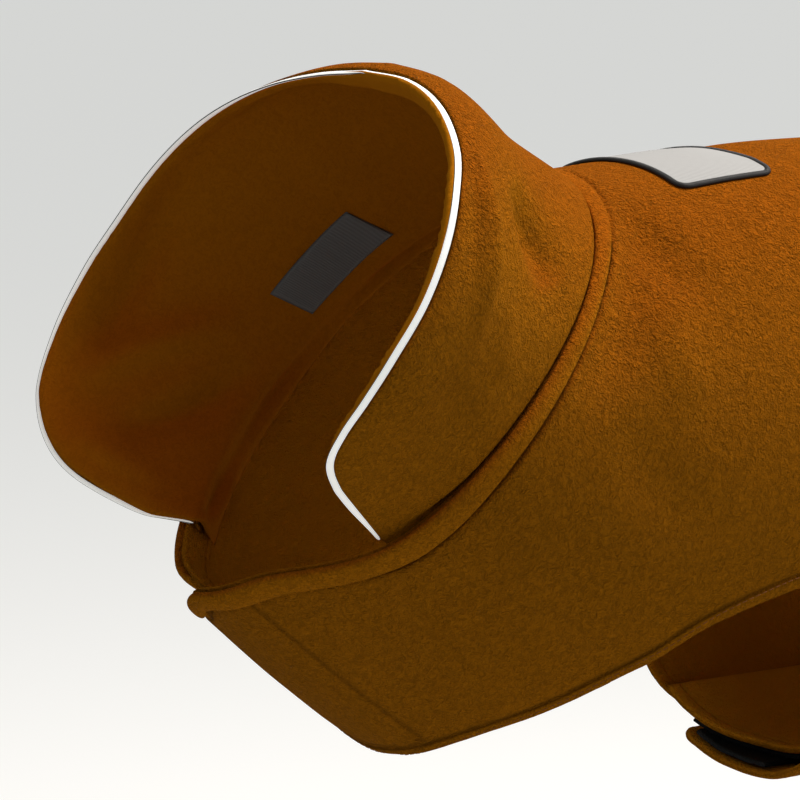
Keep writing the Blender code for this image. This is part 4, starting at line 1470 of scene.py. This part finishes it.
# %% Finishes of the tapes
def tape_finish(name, tufts_per_metre, roughness):
    """A black material with fine raised tufts."""
    made, tree, shader = new_material(name)
    tufts = node(tree, "ShaderNodeTexVoronoi", None, {"Scale": tufts_per_metre})
    tree.links.new(own_place(tree), tufts.inputs["Vector"])
    tree.links.new(bump(tree, tufts.outputs["Distance"], 0.9, 0.0006), shader.inputs["Normal"])
    black = mix(tree, tufts.outputs["Distance"], (0.003, 0.003, 0.0035, 1), (0.010, 0.010, 0.011, 1))
    tree.links.new(black, shader.inputs["Base Color"])
    shader.inputs["Roughness"].default_value = roughness
    shader.inputs["Specular IOR Level"].default_value = 0.15
    return made


loop_black = tape_finish("loop_tape_black", 900.0, 0.9)
hook_black = tape_finish("hook_tape_black", 1400.0, 0.6)
print("tape finishes:", loop_black.name, hook_black.name)

# %% Tapes
CHEST_TAPE_WALL, CHEST_AIR = 1.4, 2.5  # mm: each tape of the chest, and the air behind its hook tape


def tape(name, grid, normal, wall, look, solid):
    """A tape round its middle surface, with rounded edges."""
    edge = distance_to(grid, grid[0], grid[-1], grid[:, 0], grid[:, -1])
    half = normal * (wall / 2 * round_edge(edge, 0.6))[..., None]
    piece = cloth_mesh(name, grid + half, grid - half)
    piece.data.materials.append(look)
    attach(piece, "root")
    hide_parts(solid)
    return piece, grid


def edged(start, end, count, lip):
    """Numbers from start to end with one more close to each end."""
    inner = np.linspace(start + lip, end - lip, count)
    return np.concatenate([[start, start + lip / 3], inner, [end - lip / 3, end]])


on_chest = CHEST_LAP / 2 - PANEL_WALL / 2 - CHEST_TAPE_WALL / 2  # from midway between the flaps
for name, start, lift, look in (
    ("chest_loop_tape", 0.85, SEWN_ON - on_chest, loop_black),
    ("chest_hook_tape", 0.40, on_chest - CHEST_AIR, hook_black),
):
    across, around = np.meshgrid(edged(start, 1.70, 20, 0.03), edged(170, 187, 16, 0.5), indexing="ij")
    grid = lifted(across, around, np.full(across.shape, lift))
    tape(name + "_pile", grid, outward(across, around), CHEST_TAPE_WALL, look, name)

on_strap = STRAP_WALL / 2 + BELLY_TAPE_WALL / 2
for name, ends, front_of, lift, look in (
    ("belly_loop_tape", (160, 197), right_front, STRAP_INSIDE + on_strap + SEWN_ON, loop_black),
    ("belly_hook_tape", (163, 190), left_front, STRAP_OVER - on_strap - LAID_ON, hook_black),
):
    shares, around = np.meshgrid(edged(0, 1, 22, 0.02), edged(*ends, 22, 0.5), indexing="ij")
    front = front_of(around) + 0.03
    across = front + (STRAP_REAR - 0.10 - front) * shares
    grid = lifted(across, around, lift + sag(around))
    tape(name + "_pile", grid, outward(across, around), BELLY_TAPE_WALL, look, name)

# %% [markdown]
# ## Stitches
#
# The long hems of the panel carry raised stitches; the other seams are grooves in the fleece. One stitch is
# modelled once, as a short rounded bar, and copied along each line on the cloth. The stitches of one line are
# one mesh.

# %% One stitch
STITCH_LENGTH, STITCH_PITCH, STITCH_RADIUS = 2.6, 3.6, 0.24  # mm

bpy.ops.object.select_all(action="DESELECT")
bpy.ops.mesh.primitive_cylinder_add(
    vertices=6,
    radius=STITCH_RADIUS,
    depth=STITCH_LENGTH,
    end_fill_type="NGON",
)
one_stitch = bpy.context.object
bpy.ops.object.mode_set(mode="EDIT")
bpy.ops.mesh.select_all(action="SELECT")
bpy.ops.mesh.bevel(offset=0.12, offset_type="OFFSET", segments=1, affect="EDGES")
bpy.ops.mesh.select_all(action="SELECT")
bpy.ops.mesh.normals_make_consistent(inside=False)
bpy.ops.object.mode_set(mode="OBJECT")
stitch_points = np.array([list(corner.co) for corner in one_stitch.data.vertices])
stitch_faces = [list(face.vertices) for face in one_stitch.data.polygons]
bpy.data.objects.remove(one_stitch)
print("one stitch:", len(stitch_faces), "faces")


# %% Lines of stitches
def stitch_line(name, line, normals):
    """Stitches along a line in millimetres, half sunk in the side that the normals point to."""
    run = run_along(line)
    places = np.arange(STITCH_PITCH, run[-1] - STITCH_PITCH, STITCH_PITCH)

    def read(rows, where):
        return np.stack([np.interp(where, run, rows[:, k]) for k in range(3)], axis=1)

    at = read(line, places)
    ahead = unit(read(line, places + 1) - at)
    side = unit(np.cross(unit(read(normals, places)), ahead))
    turned = np.stack([side, np.cross(ahead, side), ahead], axis=1)
    points = at[:, None] + stitch_points @ turned
    starts = range(0, len(at) * len(stitch_points), len(stitch_points))
    faces = [[start + corner for corner in face] for start in starts for face in stitch_faces]
    piece = new_piece(name, points.reshape(-1, 3), faces)
    piece.data.materials.append(thread)
    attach(piece, "root")
    return piece


IN_THE_GROOVE = 8  # the column of EDGE_COLUMNS that lies there
hem_stitches = [
    stitch_line(name, panel_outer[2:-9, column], panel_normal[2:-9, column])
    for name, column in (("hem_stitches_left", IN_THE_GROOVE), ("hem_stitches_right", -1 - IN_THE_GROOVE))
]
print("stitched hems:", len(hem_stitches))
